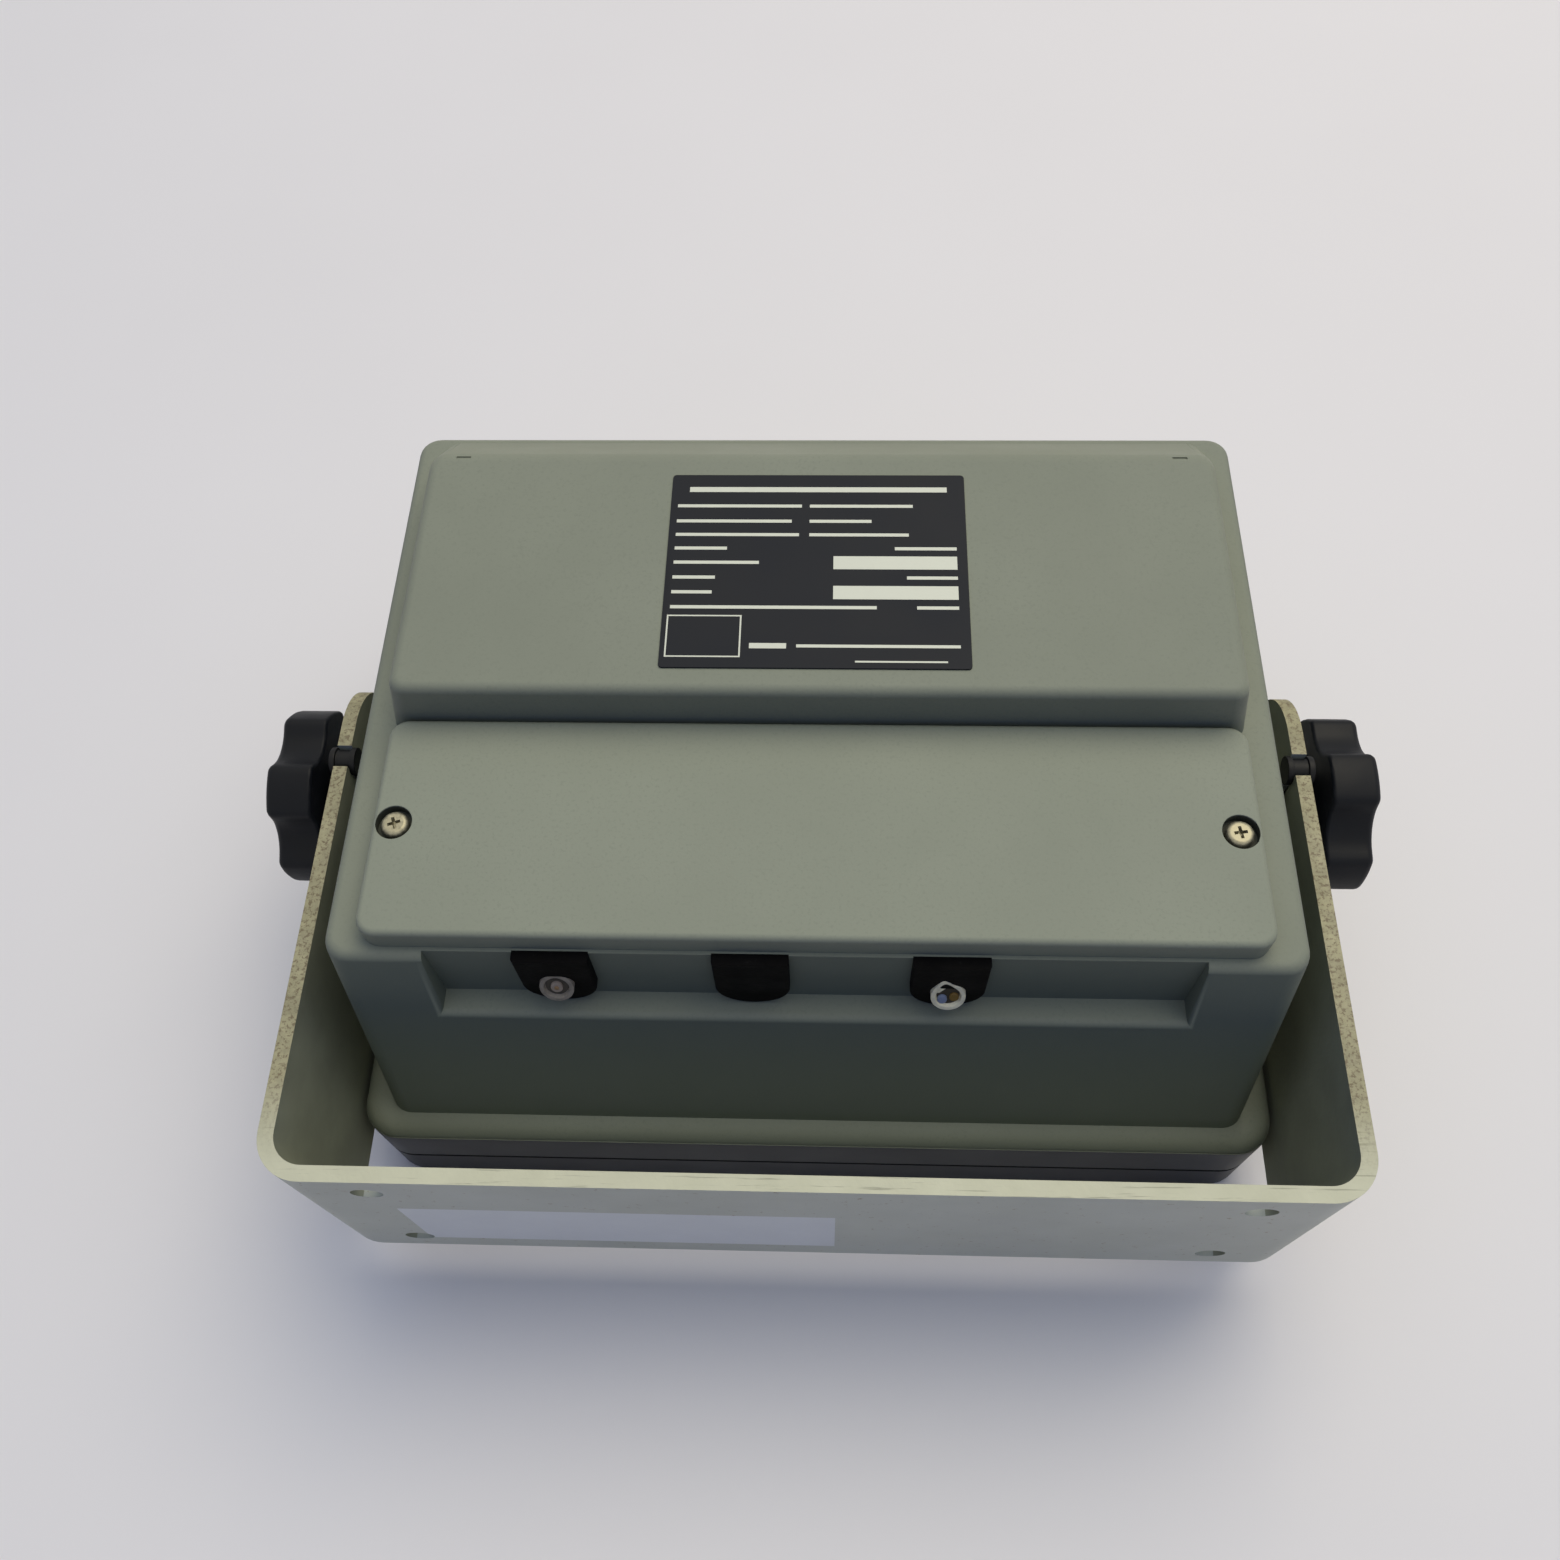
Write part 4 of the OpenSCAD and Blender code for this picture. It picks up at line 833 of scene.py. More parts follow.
def key_plastic(colours):
    # Silicone-coated ABS keys: charcoal and soft
    return plain_finish("soft_key", linear("34373B"), 8, 0.08, (0.5, 0.62), 0.8, 0.03)


def door_plastic(colours):
    # ABS, injection moulded: dark grey and satin
    return plain_finish("door_abs", linear("474C51"), 25, 0.06, (0.4, 0.5), 0.8, 0.03, ior=1.53)


def roller_rubber(colours):
    # Nitrile rubber, ground: black and even
    return plain_finish("ground_nitrile", linear("1D1D1E"), 6, 0.1, (0.6, 0.75), 0.5, 0.03)


def paper(colours):
    # Uncoated roll paper: warm white, matt and slightly fibrous
    return plain_finish("roll_paper", linear("E8E5DA"), 4, 0.03, (0.75, 0.9), 0.7, 0.05)


def table_paint(colours):
    # Laminated table top: pale and matt, with faint broad clouds
    return plain_finish("table_laminate", tuple(colours.floor), 220, 0.012, (0.6, 0.7), 3, 0.01)


FINISHES = (case_plastic, front_plastic, band_plastic, bracket_paint, bracket_inner, bracket_edge,
            knob_plastic, plate_film, plate_field, paper_label, grommet_rubber, gasket_rubber, screw_steel,
            stud_steel, sheet_steel, insert_brass, coax_sheath, power_sheath, braid, dielectric, conductor,
            filler, blue_core, brown_core, socket_nickel, terminal_plastic, washer_nylon, board, tin_screen,
            converter_black, switch_black, window_clear, display_glass, lens_amber, buzzer_black,
            head_ceramic, motor_can, key_plastic, door_plastic, roller_rubber, paper, table_paint)
MADE = {}


def finish(slot):
    """The material of a slot, made when it is first needed."""
    if slot not in MADE:
        makers = {maker.__name__: maker for maker in FINISHES}
        MADE[slot] = makers[slot](bpy.context.scene.receiver_colours)
    return MADE[slot]


# Operators
class RECEIVER_OT_stage(Operator):
    """Set up the camera, the pale table top and the soft light"""
    bl_idname = "receiver.stage"
    bl_label = "Stage"

    def execute(self, context):
        scene = context.scene
        size = scene.receiver_stage
        scene.view_settings.view_transform = "Standard"
        begin()
        bpy.ops.object.camera_add(location=size.camera)
        camera = context.object
        sight = Vector(size.aim) - Vector(size.camera)
        turn = sight.to_track_quat("-Z", "Y").to_matrix() @ Euler((0, 0, size.roll)).to_matrix()
        camera.rotation_euler = turn.to_euler()
        camera.data.lens = size.lens
        camera.data.sensor_width = size.sensor
        camera.data.clip_start = size.clip
        scene.camera = camera

        begin()
        bpy.ops.mesh.primitive_plane_add(size=size.table)
        floor = context.object
        floor.name = "table_top"
        floor.data.materials.append(finish("table_paint"))

        bpy.ops.object.light_add(type="AREA", location=size.lamp)
        lamp = context.object
        lamp.name = "broad_lamp"
        lamp.visible_camera = False
        lamp.data.size = size.lamp_size
        lamp.data.energy = size.lamp_power
        lamp.data.color = size.lamp_colour
        lamp.rotation_euler = (-Vector(size.lamp)).to_track_quat("-Z", "Y").to_euler()
        scene.world = self.room(size)
        return {"FINISHED"}

    def room(self, size):
        """Light that fades from one side of the room to the other, with a pale backdrop to look at."""
        world = bpy.data.worlds.new("soft_room")
        world.use_nodes = True
        tree = world.node_tree
        way = node(tree, "ShaderNodeTexCoord").outputs["Generated"]
        towards = node(tree, "ShaderNodeVectorMath", {0: way, 1: Vector(size.sky_side).normalized()},
                       operation="DOT_PRODUCT")
        fade = node(tree, "ShaderNodeValToRGB", {"Fac": towards.outputs["Value"]})
        fade.color_ramp.interpolation = "EASE"
        fade.color_ramp.elements[0].position = size.sky_edge
        fade.color_ramp.elements[0].color = size.sky_dim
        fade.color_ramp.elements[1].color = size.sky_bright
        ray = node(tree, "ShaderNodeLightPath").outputs
        seen = node(tree, "ShaderNodeMath", {0: ray["Is Camera Ray"], 1: ray["Is Glossy Ray"]},
                    operation="MAXIMUM")
        seen = node(tree, "ShaderNodeMath", {0: seen.outputs[0], 1: ray["Is Transmission Ray"]},
                    operation="MAXIMUM")
        light = node(tree, "ShaderNodeBackground", {"Color": fade.outputs["Color"], "Strength": size.sky})
        pale = node(tree, "ShaderNodeBackground", {"Color": tuple(size.backdrop)})
        both = node(tree, "ShaderNodeMixShader", {0: seen.outputs[0], 1: light.outputs[0],
                                                  2: pale.outputs[0]})
        tree.links.new(both.outputs[0], tree.nodes["World Output"].inputs["Surface"])
        return world


class RECEIVER_OT_finishes(Operator):
    """Give every CAD node its own finish"""
    bl_idname = "receiver.finishes"
    bl_label = "Finishes"

    def execute(self, context):
        for name, solid in frame["nodes"].items():
            for slot in solid.material_slots:
                slot.material = finish(SLOT_OF[name])
        return {"FINISHED"}


class RECEIVER_OT_case(Operator):
    """Model the moulded rear case with its step, ramp, flange and cable recess"""
    bl_idname = "receiver.case"
    bl_label = "Rear case"

    def execute(self, context):
        size = context.scene.receiver_case
        low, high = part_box("rear_case")
        ledge_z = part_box("connector_cover")[0].z
        top_z = high.z
        flange_z = low.z + size.flange_d
        half = size.flange_w/2
        shell = add_box("case_shell", (-half, low.y, low.z), (half, high.y, flange_z))
        root = half - size.lip_side
        with editing(shell):
            select("FACE", lambda f: f.normal.z > STRAIGHT)
            extrude_to((-root, low.y + size.lip_bottom, flange_z), (root, high.y - size.lip_top, flange_z))
            extrude_to((-size.ledge_w/2, size.ledge_y1, ledge_z), (size.ledge_w/2, size.ledge_y2, ledge_z))
            bevel(size.front_r, 8, lambda e: run(e, Z) > LONG and middle(e).z < flange_z)
            bevel(size.corner_r, 6, lambda e: run(e, Z) > LONG and middle(e).z > flange_z)
            bevel(size.flange_r, 6, lambda e: rim(e, flange_z))
            bevel(size.edge_r, 5, lambda e: rim(e, ledge_z))
        carve(shell, self.raised(size, ledge_z, top_z), "UNION")
        self.cut_recess(shell, size, ledge_z)
        self.add_bosses(shell, size)
        inner = size.ledge_w/2 - size.wall
        carve(shell, add_box("cavity", (-inner, size.ledge_y1 + 2*size.wall, low.z - PAST),
                             (inner, size.ledge_y2 - size.wall, ledge_z - 2*size.wall)))
        for side in (-1, 1):
            x = side*size.slot_pitch/2
            slot = add_box("slot", (x - size.slot_w/2, size.ramp_y - size.slot_h, top_z - size.slot_depth),
                           (x + size.slot_w/2, size.ramp_y, top_z + PAST))
            carve(shell, slot)
        self.cut_groove(shell, size, low, high)
        settle(shell, "receiver", "case_plastic", "rear_case")
        return {"FINISHED"}

    def cut_groove(self, shell, size, low, high):
        """Cut the groove round the flange, and give the band below it its dark coat."""
        half, deep = size.flange_w/2, size.groove
        z = low.z + size.flange_d - size.groove_drop
        ring = add_box("groove", (-half - PAST, low.y - PAST, z - deep), (half + PAST, high.y + PAST, z))
        middle_block = add_box("groove_core", (deep - half, low.y + deep, z - 2*deep),
                               (half - deep, high.y - deep, z + deep))
        with editing(middle_block):
            bevel(size.front_r - deep, 8, lambda e: run(e, Z) > deep)
        carve(ring, middle_block)
        carve(shell, ring)
        for slot in ("case_plastic", "band_plastic"):
            shell.data.materials.append(finish(slot))
        inside = half - size.front_r
        paint(shell, "coated_abs", lambda f: middle(f).z < z - NEAR and abs(f.normal.z) < ROUGHLY and
              (abs(middle(f).x) > inside or not low.y + size.front_r < middle(f).y < high.y - size.front_r))

    def raised(self, size, ledge_z, top_z):
        """The raised section with its step, leaning sides and ramp, sunk a little into the ledge."""
        share = size.raised_sink/(top_z - ledge_z)
        crown = size.ledge_w/2 - size.margin - size.raised_draft
        foot = crown + size.raised_draft*(1 + share)
        back = size.ramp_y + (size.ramp_end - size.ramp_y)*(1 + share)
        block = add_box("raised", (-foot, size.step_y, ledge_z - size.raised_sink), (foot, back, top_z))
        with editing(block):
            select("FACE", lambda f: f.normal.z > STRAIGHT)
            fit_selection((-crown, size.step_y, top_z), (crown, size.ramp_y, top_z))
            bevel(size.crown_r, 6, lambda e: run(e, Z) > LONG)
            bevel(size.raised_r, 5, lambda e: rim(e, top_z))
        return block

    def cut_recess(self, shell, size, ledge_z):
        """Cut the cable recess out of the bottom wall and soften its edges."""
        half = size.recess_w/2
        floor_z = ledge_z - size.recess_d
        carve(shell, add_box("recess", (-half, size.ledge_y1 - size.recess_d, floor_z),
                             (half, size.recess_y, ledge_z + PAST)))
        with editing(shell):
            bevel(size.recess_r, 3,
                  lambda e: middle(e).y < size.ledge_y1 - NEAR and self.on_mouth(e, half, floor_z))

    def on_mouth(self, edge, half, floor_z):
        """True for an outer edge of the recess."""
        points = [v.co for v in edge.verts]
        at_end = all(abs(abs(p.x) - half) < NEAR and p.z > floor_z - NEAR for p in points)
        at_floor = all_at(edge, Z, floor_z) and all(abs(p.x) < half + NEAR for p in points)
        return (at_end and run(edge, Z) > LONG) or (at_floor and run(edge, X) > LONG)

    def add_bosses(self, shell, size):
        """Join the two pivot bosses to the sides."""
        low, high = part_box("pivot_washers")
        y, z = (low.y + high.y)/2, (low.z + high.z)/2
        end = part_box("rear_case")[1].x
        for side in (-1, 1):
            boss = add_rod("boss", (side*(size.ledge_w/2 - size.wall), y, z), (side*end, y, z),
                           size.boss_d/2, 64)
            carve(shell, boss, "UNION")


class RECEIVER_OT_rim(Operator):
    """Model the outer wall of the front panel, below the dark line of its gasket"""
    bl_idname = "receiver.rim"
    bl_label = "Panel rim"

    def execute(self, context):
        size = context.scene.receiver_case
        low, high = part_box("rear_case")
        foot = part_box("front_panel")[0].z + size.rim_foot
        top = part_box("front_gasket")[0].z - size.rim_gap
        half = size.flange_w/2
        wall = size.rim_t
        rim_wall = add_box("panel_rim", (-half, low.y, foot), (half, high.y, top))
        hole = add_box("rim_hole", (wall - half, low.y + wall, foot - PAST),
                       (half - wall, high.y - wall, top + PAST))
        for piece, radius in ((rim_wall, size.front_r), (hole, size.front_r - wall)):
            with editing(piece):
                bevel(radius, 8, lambda e: run(e, Z) > LONG)
        with editing(rim_wall):
            bevel(size.rim_r, 6, lambda e: all_at(e, Z, foot))
        carve(rim_wall, hole)
        soften(rim_wall, size.rim_soft, 3)
        settle(rim_wall, "receiver", "front_plastic")
        return {"FINISHED"}


class RECEIVER_OT_cover(Operator):
    """Model the connector cover with its two counterbored screws"""
    bl_idname = "receiver.cover"
    bl_label = "Connector cover"

    def execute(self, context):
        size = context.scene.receiver_case
        screw = context.scene.receiver_screws
        low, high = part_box("connector_cover")
        plate = add_box("cover_plate", low, high)
        with editing(plate):
            bevel(size.cover_r, 8, lambda e: run(e, Z) > LONG)
            bevel(size.cover_edge, 4, lambda e: rim(e, high.z))
        screw_low, screw_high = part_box("cover_screws")
        head_r = (screw_high.y - screw_low.y)/2
        x, y = screw_high.x - head_r, (screw_low.y + screw_high.y)/2
        seat = screw_high.z - screw.head_t
        pocket_r = size.counterbore_d/2
        screws = []
        for side, turn in ((-1, screw.left_turn), (1, screw.right_turn)):
            carve(plate, add_rod("pocket", (side*x, y, seat), (side*x, y, high.z + PAST), pocket_r, 64))
            made = self.screw(f"cover_screw_{len(screws)}", screw, screw_low.z, seat, screw_high.z, head_r)
            screws.append(move(made, (side*x, y, 0), (0, 0, turn)))
        with editing(plate):
            bevel(size.pocket_edge, 2, lambda e: rim(e, high.z))
        # The plate's colour is lifted a little above the case's as painted light, and its screw pockets are
        # drawn much darker as painted shade
        for name, lift in (("lit_abs", 1.13), ("pocket_shade_abs", 0.25)):
            plate.data.materials.append(case_plastic(context.scene.receiver_colours, name, lift))
        # Painted shade: the faces of the screw pockets get the much darker copy of the case colour
        paint(plate, "pocket_shade_abs",
              lambda f: math.hypot(abs(middle(f).x) - x, middle(f).y - y) < pocket_r + NEAR)
        settle(plate, "receiver", "case_plastic", "connector_cover")
        heads = join(*screws)
        heads.name = "cover_screw_pair"
        settle(heads, "receiver", "screw_steel", "cover_screws")
        return {"FINISHED"}

    def screw(self, name, size, foot, seat, top, radius):
        """One pan-head screw with a cross recess, on the Z axis."""
        head = add_rod(name, (0, 0, seat), (0, 0, top), radius)
        with editing(head):
            bevel(size.crown_r, 5, lambda e: rim(e, top))
        deep = top - size.slit_d
        for turn in (0, math.pi/2):
            slit = add_box("slit", (-size.slit_l/2, -size.slit_w/2, deep),
                           (size.slit_l/2, size.slit_w/2, top + PAST))
            with editing(slit):
                select("FACE", lambda f: f.normal.z < -STRAIGHT)
                fit_selection((-size.foot_l/2, -size.foot_w/2, deep), (size.foot_l/2, size.foot_w/2, deep))
            carve(head, move(slit, (0, 0, 0), (0, 0, turn)))
        carve(head, add_rod("shank", (0, 0, foot), (0, 0, seat + size.overlap), size.shank_d/2, 32), "UNION")
        return head


class RECEIVER_OT_nameplate(Operator):
    """Model the dark nameplate with its two blank fields and fine rules"""
    bl_idname = "receiver.nameplate"
    bl_label = "Nameplate"
    # Fields, rows and a frame, in millimetres: middle's distance from the top, left end, right end and height
    MARKS = ((29.4, 43.4, 75.3, 4.2), (38.9, 43.4, 75.3, 4.2), (5.1, 4.8, 73.3, 1.7), (10.7, 1.9, 34.9, 1),
             (10.7, 37.0, 64.2, 1), (15.8, 1.9, 32.3, 1), (15.8, 37.0, 53.3, 1), (20.3, 1.9, 34.3, 1),
             (20.3, 37.0, 63.0, 1), (24.8, 1.9, 15.6, 1), (24.8, 59.3, 75.3, 1), (29.4, 1.9, 24.1, 1),
             (34.2, 1.9, 12.9, 1), (34.2, 62.3, 75.3, 1), (38.9, 1.9, 12.3, 1), (43.6, 1.9, 54.5, 1),
             (43.6, 64.7, 75.3, 1), (46.3, 1.3, 20.3, 0.4), (58.7, 1.3, 20.3, 0.4), (52.5, 1.3, 1.7, 12.0),
             (52.5, 19.9, 20.3, 12.0), (55.4, 34.3, 75.3, 0.9), (55.4, 22.5, 31.8, 1.6),
             (60.0, 49.0, 72.0, 0.5))

    def execute(self, context):
        size = context.scene.receiver_case
        low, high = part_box("nameplate")
        plate = add_box("name_plate", low, high)
        with editing(plate):
            bevel(size.plate_r, 5, lambda e: run(e, Z) > NEAR)
            bevel(size.plate_edge, 2, lambda e: rim(e, high.z))
        for slot in ("plate_film", "plate_field"):
            plate.data.materials.append(finish(slot))
        for drop, left, right, tall in self.MARKS:
            self.mark(plate, high.z, low.x + left*MM, low.x + right*MM, high.y - (drop + tall/2)*MM,
                      high.y - (drop - tall/2)*MM)
        settle(plate, "receiver", "plate_film", "nameplate")
        return {"FINISHED"}

    def mark(self, plate, z, x1, x2, y1, y2):
        """Outline a rectangle on the plate's face and make it pale."""
        lines = (((x1, 0, z), (1, 0, 0)), ((x2, 0, z), (1, 0, 0)),
                 ((0, y1, z), (0, 1, 0)), ((0, y2, z), (0, 1, 0)))
        score(plate, lines, lambda f: f.normal.z > STRAIGHT and self.meets(f, x1, x2, y1, y2))
        paint(plate, "blank_field",
              lambda f: f.normal.z > STRAIGHT and x1 < middle(f).x < x2 and y1 < middle(f).y < y2)

    def meets(self, face, x1, x2, y1, y2):
        """True where a face's box meets a rectangle."""
        xs, ys = [v.co.x for v in face.verts], [v.co.y for v in face.verts]
        return min(xs) < x2 and max(xs) > x1 and min(ys) < y2 and max(ys) > y1


class RECEIVER_OT_grommets(Operator):
    """Model the rubber grommets and the cut ends of the two cables"""
    bl_idname = "receiver.grommets"
    bl_label = "Grommets and cables"
    # Place across and up, radius and sink in millimetres, and name of each layer in a cable's end
    COAX = ((0, 0, 2.9, 0.9, "braid"), (0, 0, 1.5, 0.3, "dielectric"), (0, 0, 0.6, 0.1, "conductor"))
    POWER = ((0, -0.2, 2.9, 1.0, "filler"), (-1.4, -1.2, 1.2, 0.4, "blue_core"),
             (1.5, -0.5, 1.2, 0.5, "brown_core"))
    # Share of a grommet's half width that its lower corners are rounded by, so that they just don't meet
    ROUND = 0.999

    def execute(self, context):
        size = context.scene.receiver_cables
        for name in ("grommet_left", "grommet_blank", "grommet_right"):
            self.grommet(name, size)
        self.cable("coax_stub", "coax_sheath", size, 0, self.COAX)
        self.cable("power_stub", "power_sheath", size, size.flap_h, self.POWER)
        return {"FINISHED"}

    def grommet(self, name, size):
        """One U-shaped plug with a rounded outer edge."""
        low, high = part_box(name)
        plug = add_box(name + "_plug", low, high)
        half = (high.x - low.x)/2
        with editing(plug):
            bevel(half*self.ROUND, 14, lambda e: all_at(e, Z, low.z) and run(e, Y) > LONG)
            bevel(size.grommet_edge, 3, lambda e: all_at(e, Y, low.y) and middle(e).z < high.z - NEAR)
        settle(plug, "receiver", "grommet_rubber", name)

    def cable(self, name, slot, size, flap, layers):
        """A cable cut off at a slant: its sheath, with or without a torn flap, and the layers inside it."""
        low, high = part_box(name)
        x, z, radius = (low.x + high.x)/2, (low.z + high.z)/2, (high.z - low.z)/2
        sheath = add_rod(name + "_sheath", (x, high.y, z), (x, low.y + size.set_back, z), radius)
        carve(sheath, add_rod("bore", (x, low.y - PAST, z), (x, low.y + size.hollow, z), radius*size.bore))
        soften(sheath, size.sheath_edge)
        self.slant(sheath, size, low, high, flap)
        settle(sheath, "receiver", slot, name)
        for across, up, layer_r, sink, label in layers:
            start = Vector((x + across*MM, low.y + size.core_l, z + up*MM))
            end = Vector((start.x, low.y + sink*MM, start.z))
            layer = add_rod(name + "_" + label, start, end, layer_r*MM, 24)
            soften(layer, size.core_edge)
            self.slant(layer, size, low, high, 0)
            layer.data.materials.append(finish(label))
            settle(layer, "receiver", slot)

    def slant(self, piece, size, low, high, flap):
        """Lean the cut end back towards the top, and turn up a torn flap."""
        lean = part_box("grommet_left")[0].y - low.y
        with editing(piece):
            mesh = bmesh.from_edit_mesh(piece.data)
            for vert in mesh.verts:
                if vert.co.y < low.y + size.lean_l:
                    across = (vert.co.x - low.x)/(high.x - low.x)
                    up = (vert.co.z - low.z)/(high.z - low.z)
                    vert.co.y += lean*up
                    vert.co.z += flap*math.exp(-(across - size.flap_x)**2/size.flap_spread)*up**2
            bmesh.update_edit_mesh(piece.data)


class RECEIVER_OT_bracket(Operator):
    """Model the bent bracket with its slots, holes and worn edges"""
    bl_idname = "receiver.bracket"
    bl_label = "Bracket"

    def execute(self, context):
        size = context.scene.receiver_bracket
        low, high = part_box("bracket")
        t, bend = size.plate_t, size.bend_r
        flat = high.x - t - bend
        strip = add_box("bracket_strip", (-flat, low.y, low.z), (flat, low.y + t, high.z))
        with editing(strip):
            for side in (1, -1):
                select("FACE", lambda f: f.normal.x*side > STRAIGHT and 0 < middle(f).x*side < flat + NEAR)
                bpy.ops.mesh.spin(steps=12, angle=-side*math.pi/2, center=(side*flat, low.y + t + bend, 0),
                                  axis=(0, 0, 1))
                bpy.ops.mesh.extrude_region()
                bpy.ops.transform.translate(value=(0, high.y - low.y - t - bend, 0))
            bpy.ops.mesh.select_all(action="SELECT")
            bpy.ops.mesh.remove_doubles(threshold=NEAR)
            bpy.ops.mesh.normals_make_consistent(inside=False)
            bevel(size.arm_r, 12, lambda e: all_at(e, Y, high.y) and run(e, X) > NEAR)
        self.cut_holes(strip, size, low, high)
        for slot in ("bracket_paint", "bracket_edge", "paper_label", "bracket_inner"):
            strip.data.materials.append(finish(slot))
        self.mark_label(strip, size, low)
        soften(strip, size.edge)
        # The arms' inner faces get the darker enamel: grime and painted shade
        paint(strip, "grimy_shaded_enamel", lambda f: f.normal.x*middle(f).x < -ROUGHLY*abs(middle(f).x))
        paint(strip, "rubbed_primer",
              lambda f: (f.normal.z > ROUGHLY and middle(f).z > high.z - 2*size.edge) or
              (f.normal.y > SLIGHTLY and middle(f).y > high.y - size.arm_r))
        settle(strip, "bracket", "bracket_paint", "bracket")
        self.keepers(size)
        return {"FINISHED"}

    def cut_holes(self, strip, size, low, high):
        """Drill the base and cut the open slots in the arms."""
        pivot_low, pivot_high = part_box("pivot_washers")
        y, z = (pivot_low.y + pivot_high.y)/2, (pivot_low.z + pivot_high.z)/2
        for side in (-1, 1):
            inner, outer = side*(high.x - size.plate_t - PAST), side*(high.x + PAST)
            carve(strip, add_rod("slot_end", (inner, y, z), (outer, y, z), size.slot_w/2))
            x1, x2 = sorted((inner, outer))
            carve(strip, add_box("slot", (x1, y - size.slot_w/2, z), (x2, y + size.slot_w/2, high.z + PAST)))
            for height in (low.z + size.hole_edge, high.z - size.hole_edge):
                x = side*size.hole_pitch/2
                hole = add_rod("hole", (x, low.y - PAST, height), (x, low.y + size.plate_t + PAST, height),
                               size.hole_d/2, 40)
                carve(strip, hole)

    def keepers(self, size):
        """The spools that are clipped across the mouths of the slots."""
        low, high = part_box("slot_keepers")
        head = (high.z - low.z)/2
        web = size.slot_w/2 - NEAR
        y, z = (low.y + high.y)/2, (low.z + high.z)/2
        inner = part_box("bracket")[1].x - size.plate_t - (high.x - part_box("bracket")[1].x)
        spool = add_rod("keeper_right", (inner, y, z), (inner + size.keeper_t, y, z), head, 32)
        with editing(spool):
            select("FACE", lambda f: f.normal.x > STRAIGHT)
            for x, radius in ((inner + size.keeper_t, web), (high.x - size.keeper_t, web),
                              (high.x - size.keeper_t, head), (high.x, head)):
                extrude_to((x, y - radius, z - radius), (x, y + radius, z + radius))
        soften(spool, size.keeper_edge)
        twin = move(copy_of(spool, "keeper_left"), (-inner - high.x, 0, 0))
        settle(spool, "bracket", "washer_nylon", "slot_keepers")
        settle(twin, "bracket", "washer_nylon")

    def mark_label(self, strip, size, low):
        """Outline the blank paper label on the outside of the base."""
        x1, x2 = size.label_x, size.label_x + size.label_w
        z1, z2 = size.label_z, size.label_z + size.label_h
        lines = (((x1, 0, 0), (1, 0, 0)), ((x2, 0, 0), (1, 0, 0)),
                 ((0, 0, z1), (0, 0, 1)), ((0, 0, z2), (0, 0, 1)))
        score(strip, lines, lambda f: f.normal.y < -STRAIGHT and abs(middle(f).y - low.y) < NEAR)
        paint(strip, "label_paper",
              lambda f: f.normal.y < -STRAIGHT and x1 < middle(f).x < x2 and z1 < middle(f).z < z2)


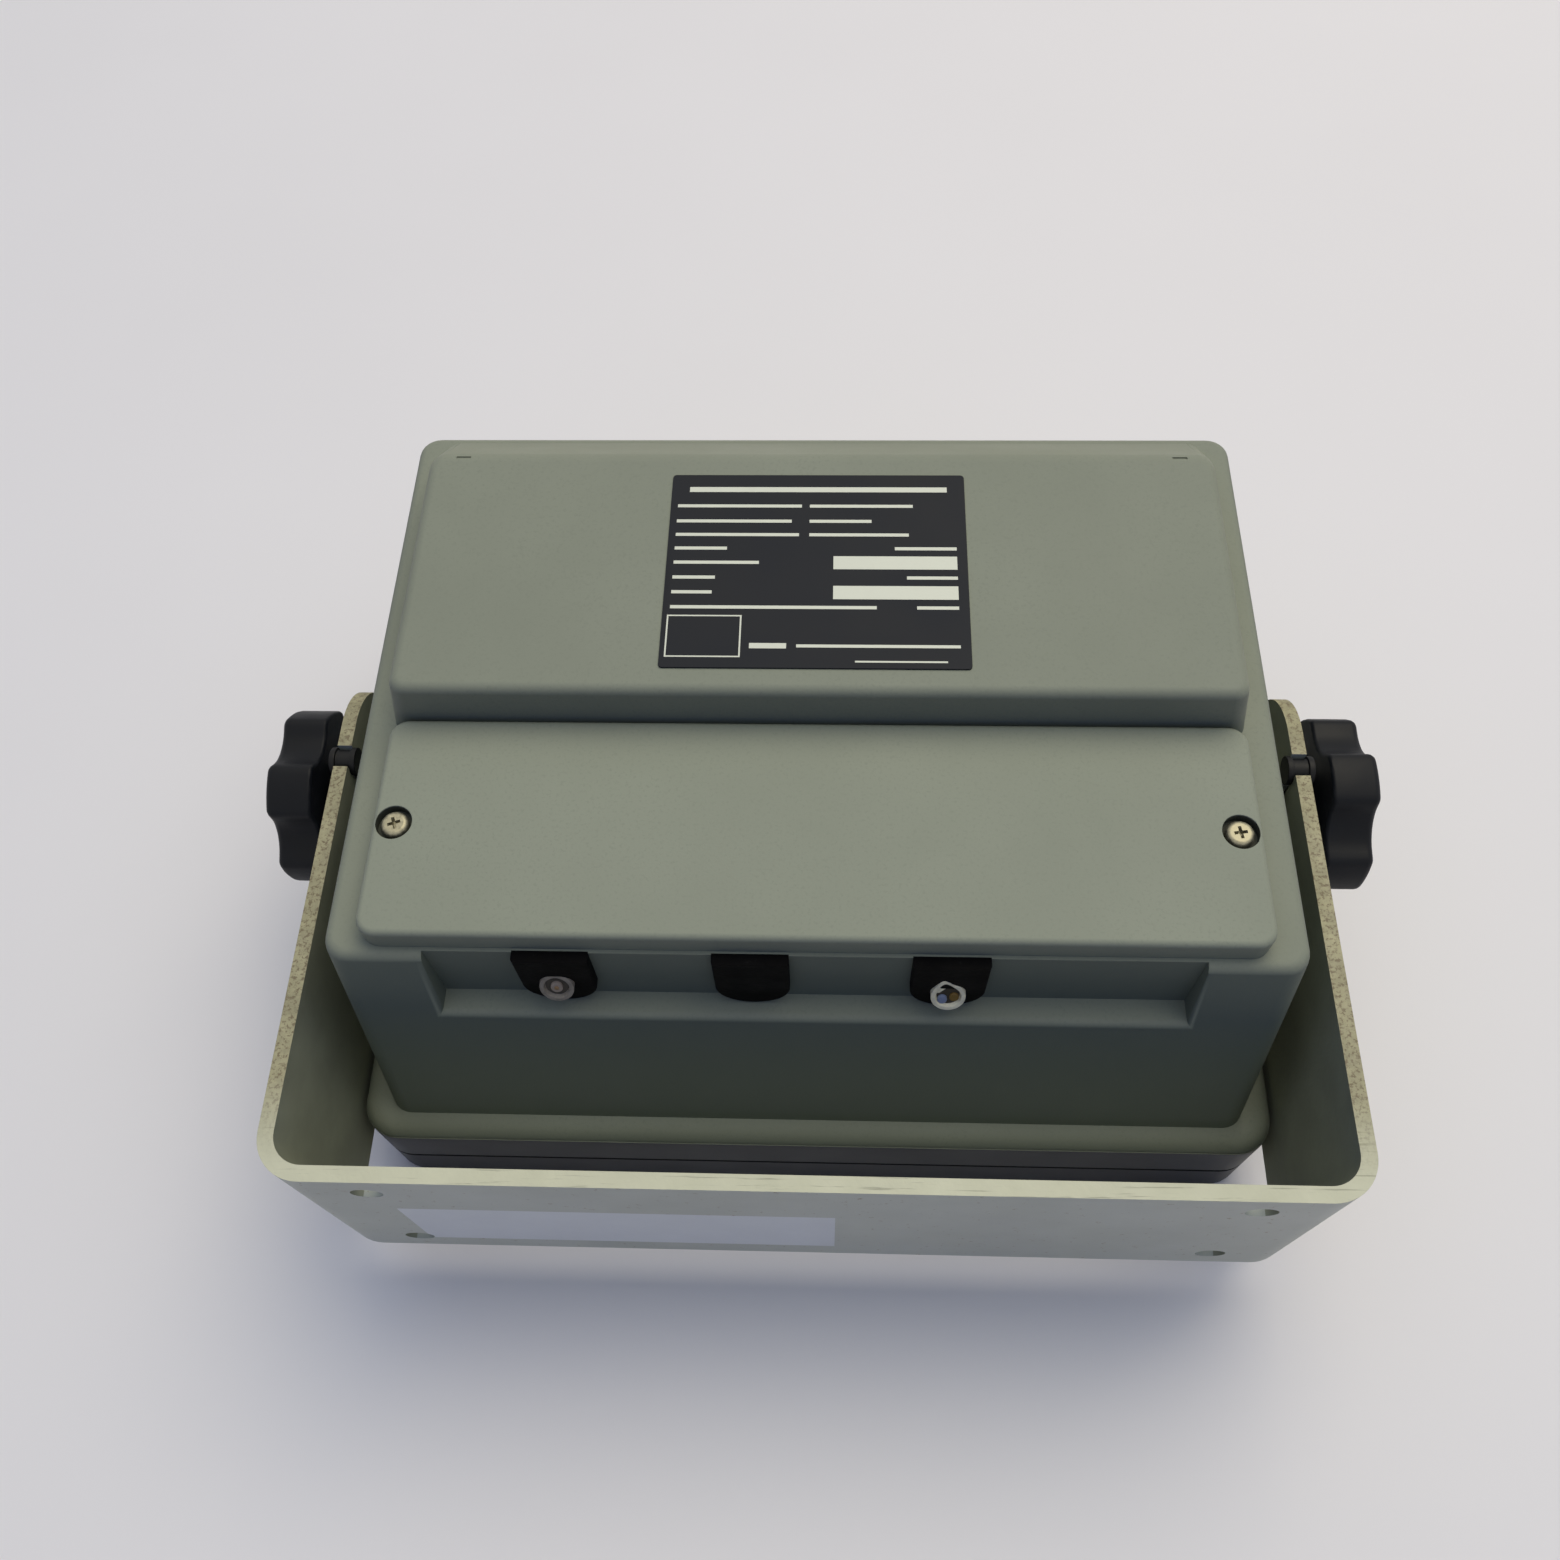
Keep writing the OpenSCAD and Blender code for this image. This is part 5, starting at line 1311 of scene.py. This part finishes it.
class RECEIVER_OT_knobs(Operator):
    """Model the two star knobs"""
    bl_idname = "receiver.knobs"
    bl_label = "Star knobs"
    # Steps of the outline for each lobe, and the angle in degrees above which the knob's edges stay sharp
    LOBE_STEPS = 30
    LOBE_SHARP = 30

    def execute(self, context):
        size = context.scene.receiver_knobs
        for name, side, turn in (("knob_left", -1, size.left_turn), ("knob_right", 1, size.right_turn)):
            self.knob(name, side, turn, size)
        return {"FINISHED"}

    def knob(self, name, side, turn, size):
        """One star knob, made along Z and then laid along its stud."""
        low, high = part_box(name)
        washer_low, washer_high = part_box(name.replace("knob", "knob_washer"))
        y, z = (washer_low.y + washer_high.y)/2, (washer_low.z + washer_high.z)/2
        radius = max(high.y - y, y - low.y, high.z - z, z - low.z)
        near, far = (high.x, low.x) if side < 0 else (low.x, high.x)
        depth = abs(far - near)
        lobe_z = depth - size.lobe_t
        star = add_rod(name + "_star", (0, 0, lobe_z), (0, 0, depth), radius,
                       self.LOBE_STEPS*size.lobes)
        with editing(star):
            mesh = bmesh.from_edit_mesh(star.data)
            for vert in mesh.verts:
                ratio = self.outline(math.atan2(vert.co.y, vert.co.x), radius, size)/radius
                vert.co.x *= ratio
                vert.co.y *= ratio
            bmesh.update_edit_mesh(star.data)
            bevel(size.face_edge, 4, lambda e: rim(e, depth))
            bevel(size.back_edge, 3, lambda e: all_at(e, Z, lobe_z))
        hub_r = size.hub_d/2
        carve(star, add_rod("hub", (0, 0, 0), (0, 0, lobe_z + size.hub_overlap), hub_r), "UNION")
        dish_z = depth - size.dish_depth
        carve(star, add_rod("dish", (0, 0, dish_z), (0, 0, depth + PAST), hub_r - size.dish_rim))
        carve(star, add_rod("bore", (0, 0, -PAST), (0, 0, depth/2), size.bore_d/2, 32))
        facing = Euler((0, math.pi/2, 0 if side > 0 else math.pi)).to_matrix()
        move(star, (near, y, z), (facing @ Euler((0, 0, turn)).to_matrix()).to_euler())
        settle(star, name, "knob_plastic", name, angle=self.LOBE_SHARP)

    def outline(self, angle, radius, size):
        """Radius of the star at an angle: a circle with round hollows, its corners eased."""
        angles = (angle - size.ease, angle, angle + size.ease)
        return sum(self.hollowed(a, radius, size) for a in angles)/len(angles)

    def hollowed(self, angle, radius, size):
        """Radius at an angle of a circle cut by round hollows."""
        pitch = 2*math.pi/size.lobes
        away = angle % pitch - pitch/2
        reach = radius + size.hollow_r - size.hollow_depth
        room = size.hollow_r**2 - (reach*math.sin(away))**2
        if room < 0:
            return radius
        return min(radius, reach*math.cos(away) - math.sqrt(room))


PIECES = (RECEIVER_OT_stage, RECEIVER_OT_finishes, RECEIVER_OT_case, RECEIVER_OT_rim, RECEIVER_OT_cover,
          RECEIVER_OT_nameplate, RECEIVER_OT_grommets, RECEIVER_OT_bracket, RECEIVER_OT_knobs)
GROUPS = {"receiver_case": CaseSizes, "receiver_screws": ScrewSizes, "receiver_cables": CableSizes,
          "receiver_bracket": BracketSizes, "receiver_knobs": KnobSizes, "receiver_colours": Colours,
          "receiver_stage": StageSizes}


class RECEIVER_PT_panel(Panel):
    """Lists the steps in the sidebar"""
    bl_idname = "RECEIVER_PT_panel"
    bl_label = "Marine text receiver"
    bl_space_type = "VIEW_3D"
    bl_region_type = "UI"
    bl_category = "Receiver"

    def draw(self, context):
        for piece in PIECES:
            self.layout.operator(piece.bl_idname)


def register():
    for group in GROUPS.values():
        bpy.utils.register_class(group)
    for name, group in GROUPS.items():
        setattr(bpy.types.Scene, name, PointerProperty(type=group))
    for piece in (*PIECES, RECEIVER_PT_panel):
        bpy.utils.register_class(piece)


def unregister():
    for piece in reversed((*PIECES, RECEIVER_PT_panel)):
        bpy.utils.unregister_class(piece)
    for name in GROUPS:
        delattr(bpy.types.Scene, name)
    for group in reversed(GROUPS.values()):
        bpy.utils.unregister_class(group)


def main():
    register()
    bpy.ops.receiver.stage()
    bpy.ops.receiver.finishes()
    bpy.ops.receiver.case()
    bpy.ops.receiver.rim()
    bpy.ops.receiver.cover()
    bpy.ops.receiver.nameplate()
    bpy.ops.receiver.grommets()
    bpy.ops.receiver.bracket()
    bpy.ops.receiver.knobs()


if __name__ == "__main__":
    main()
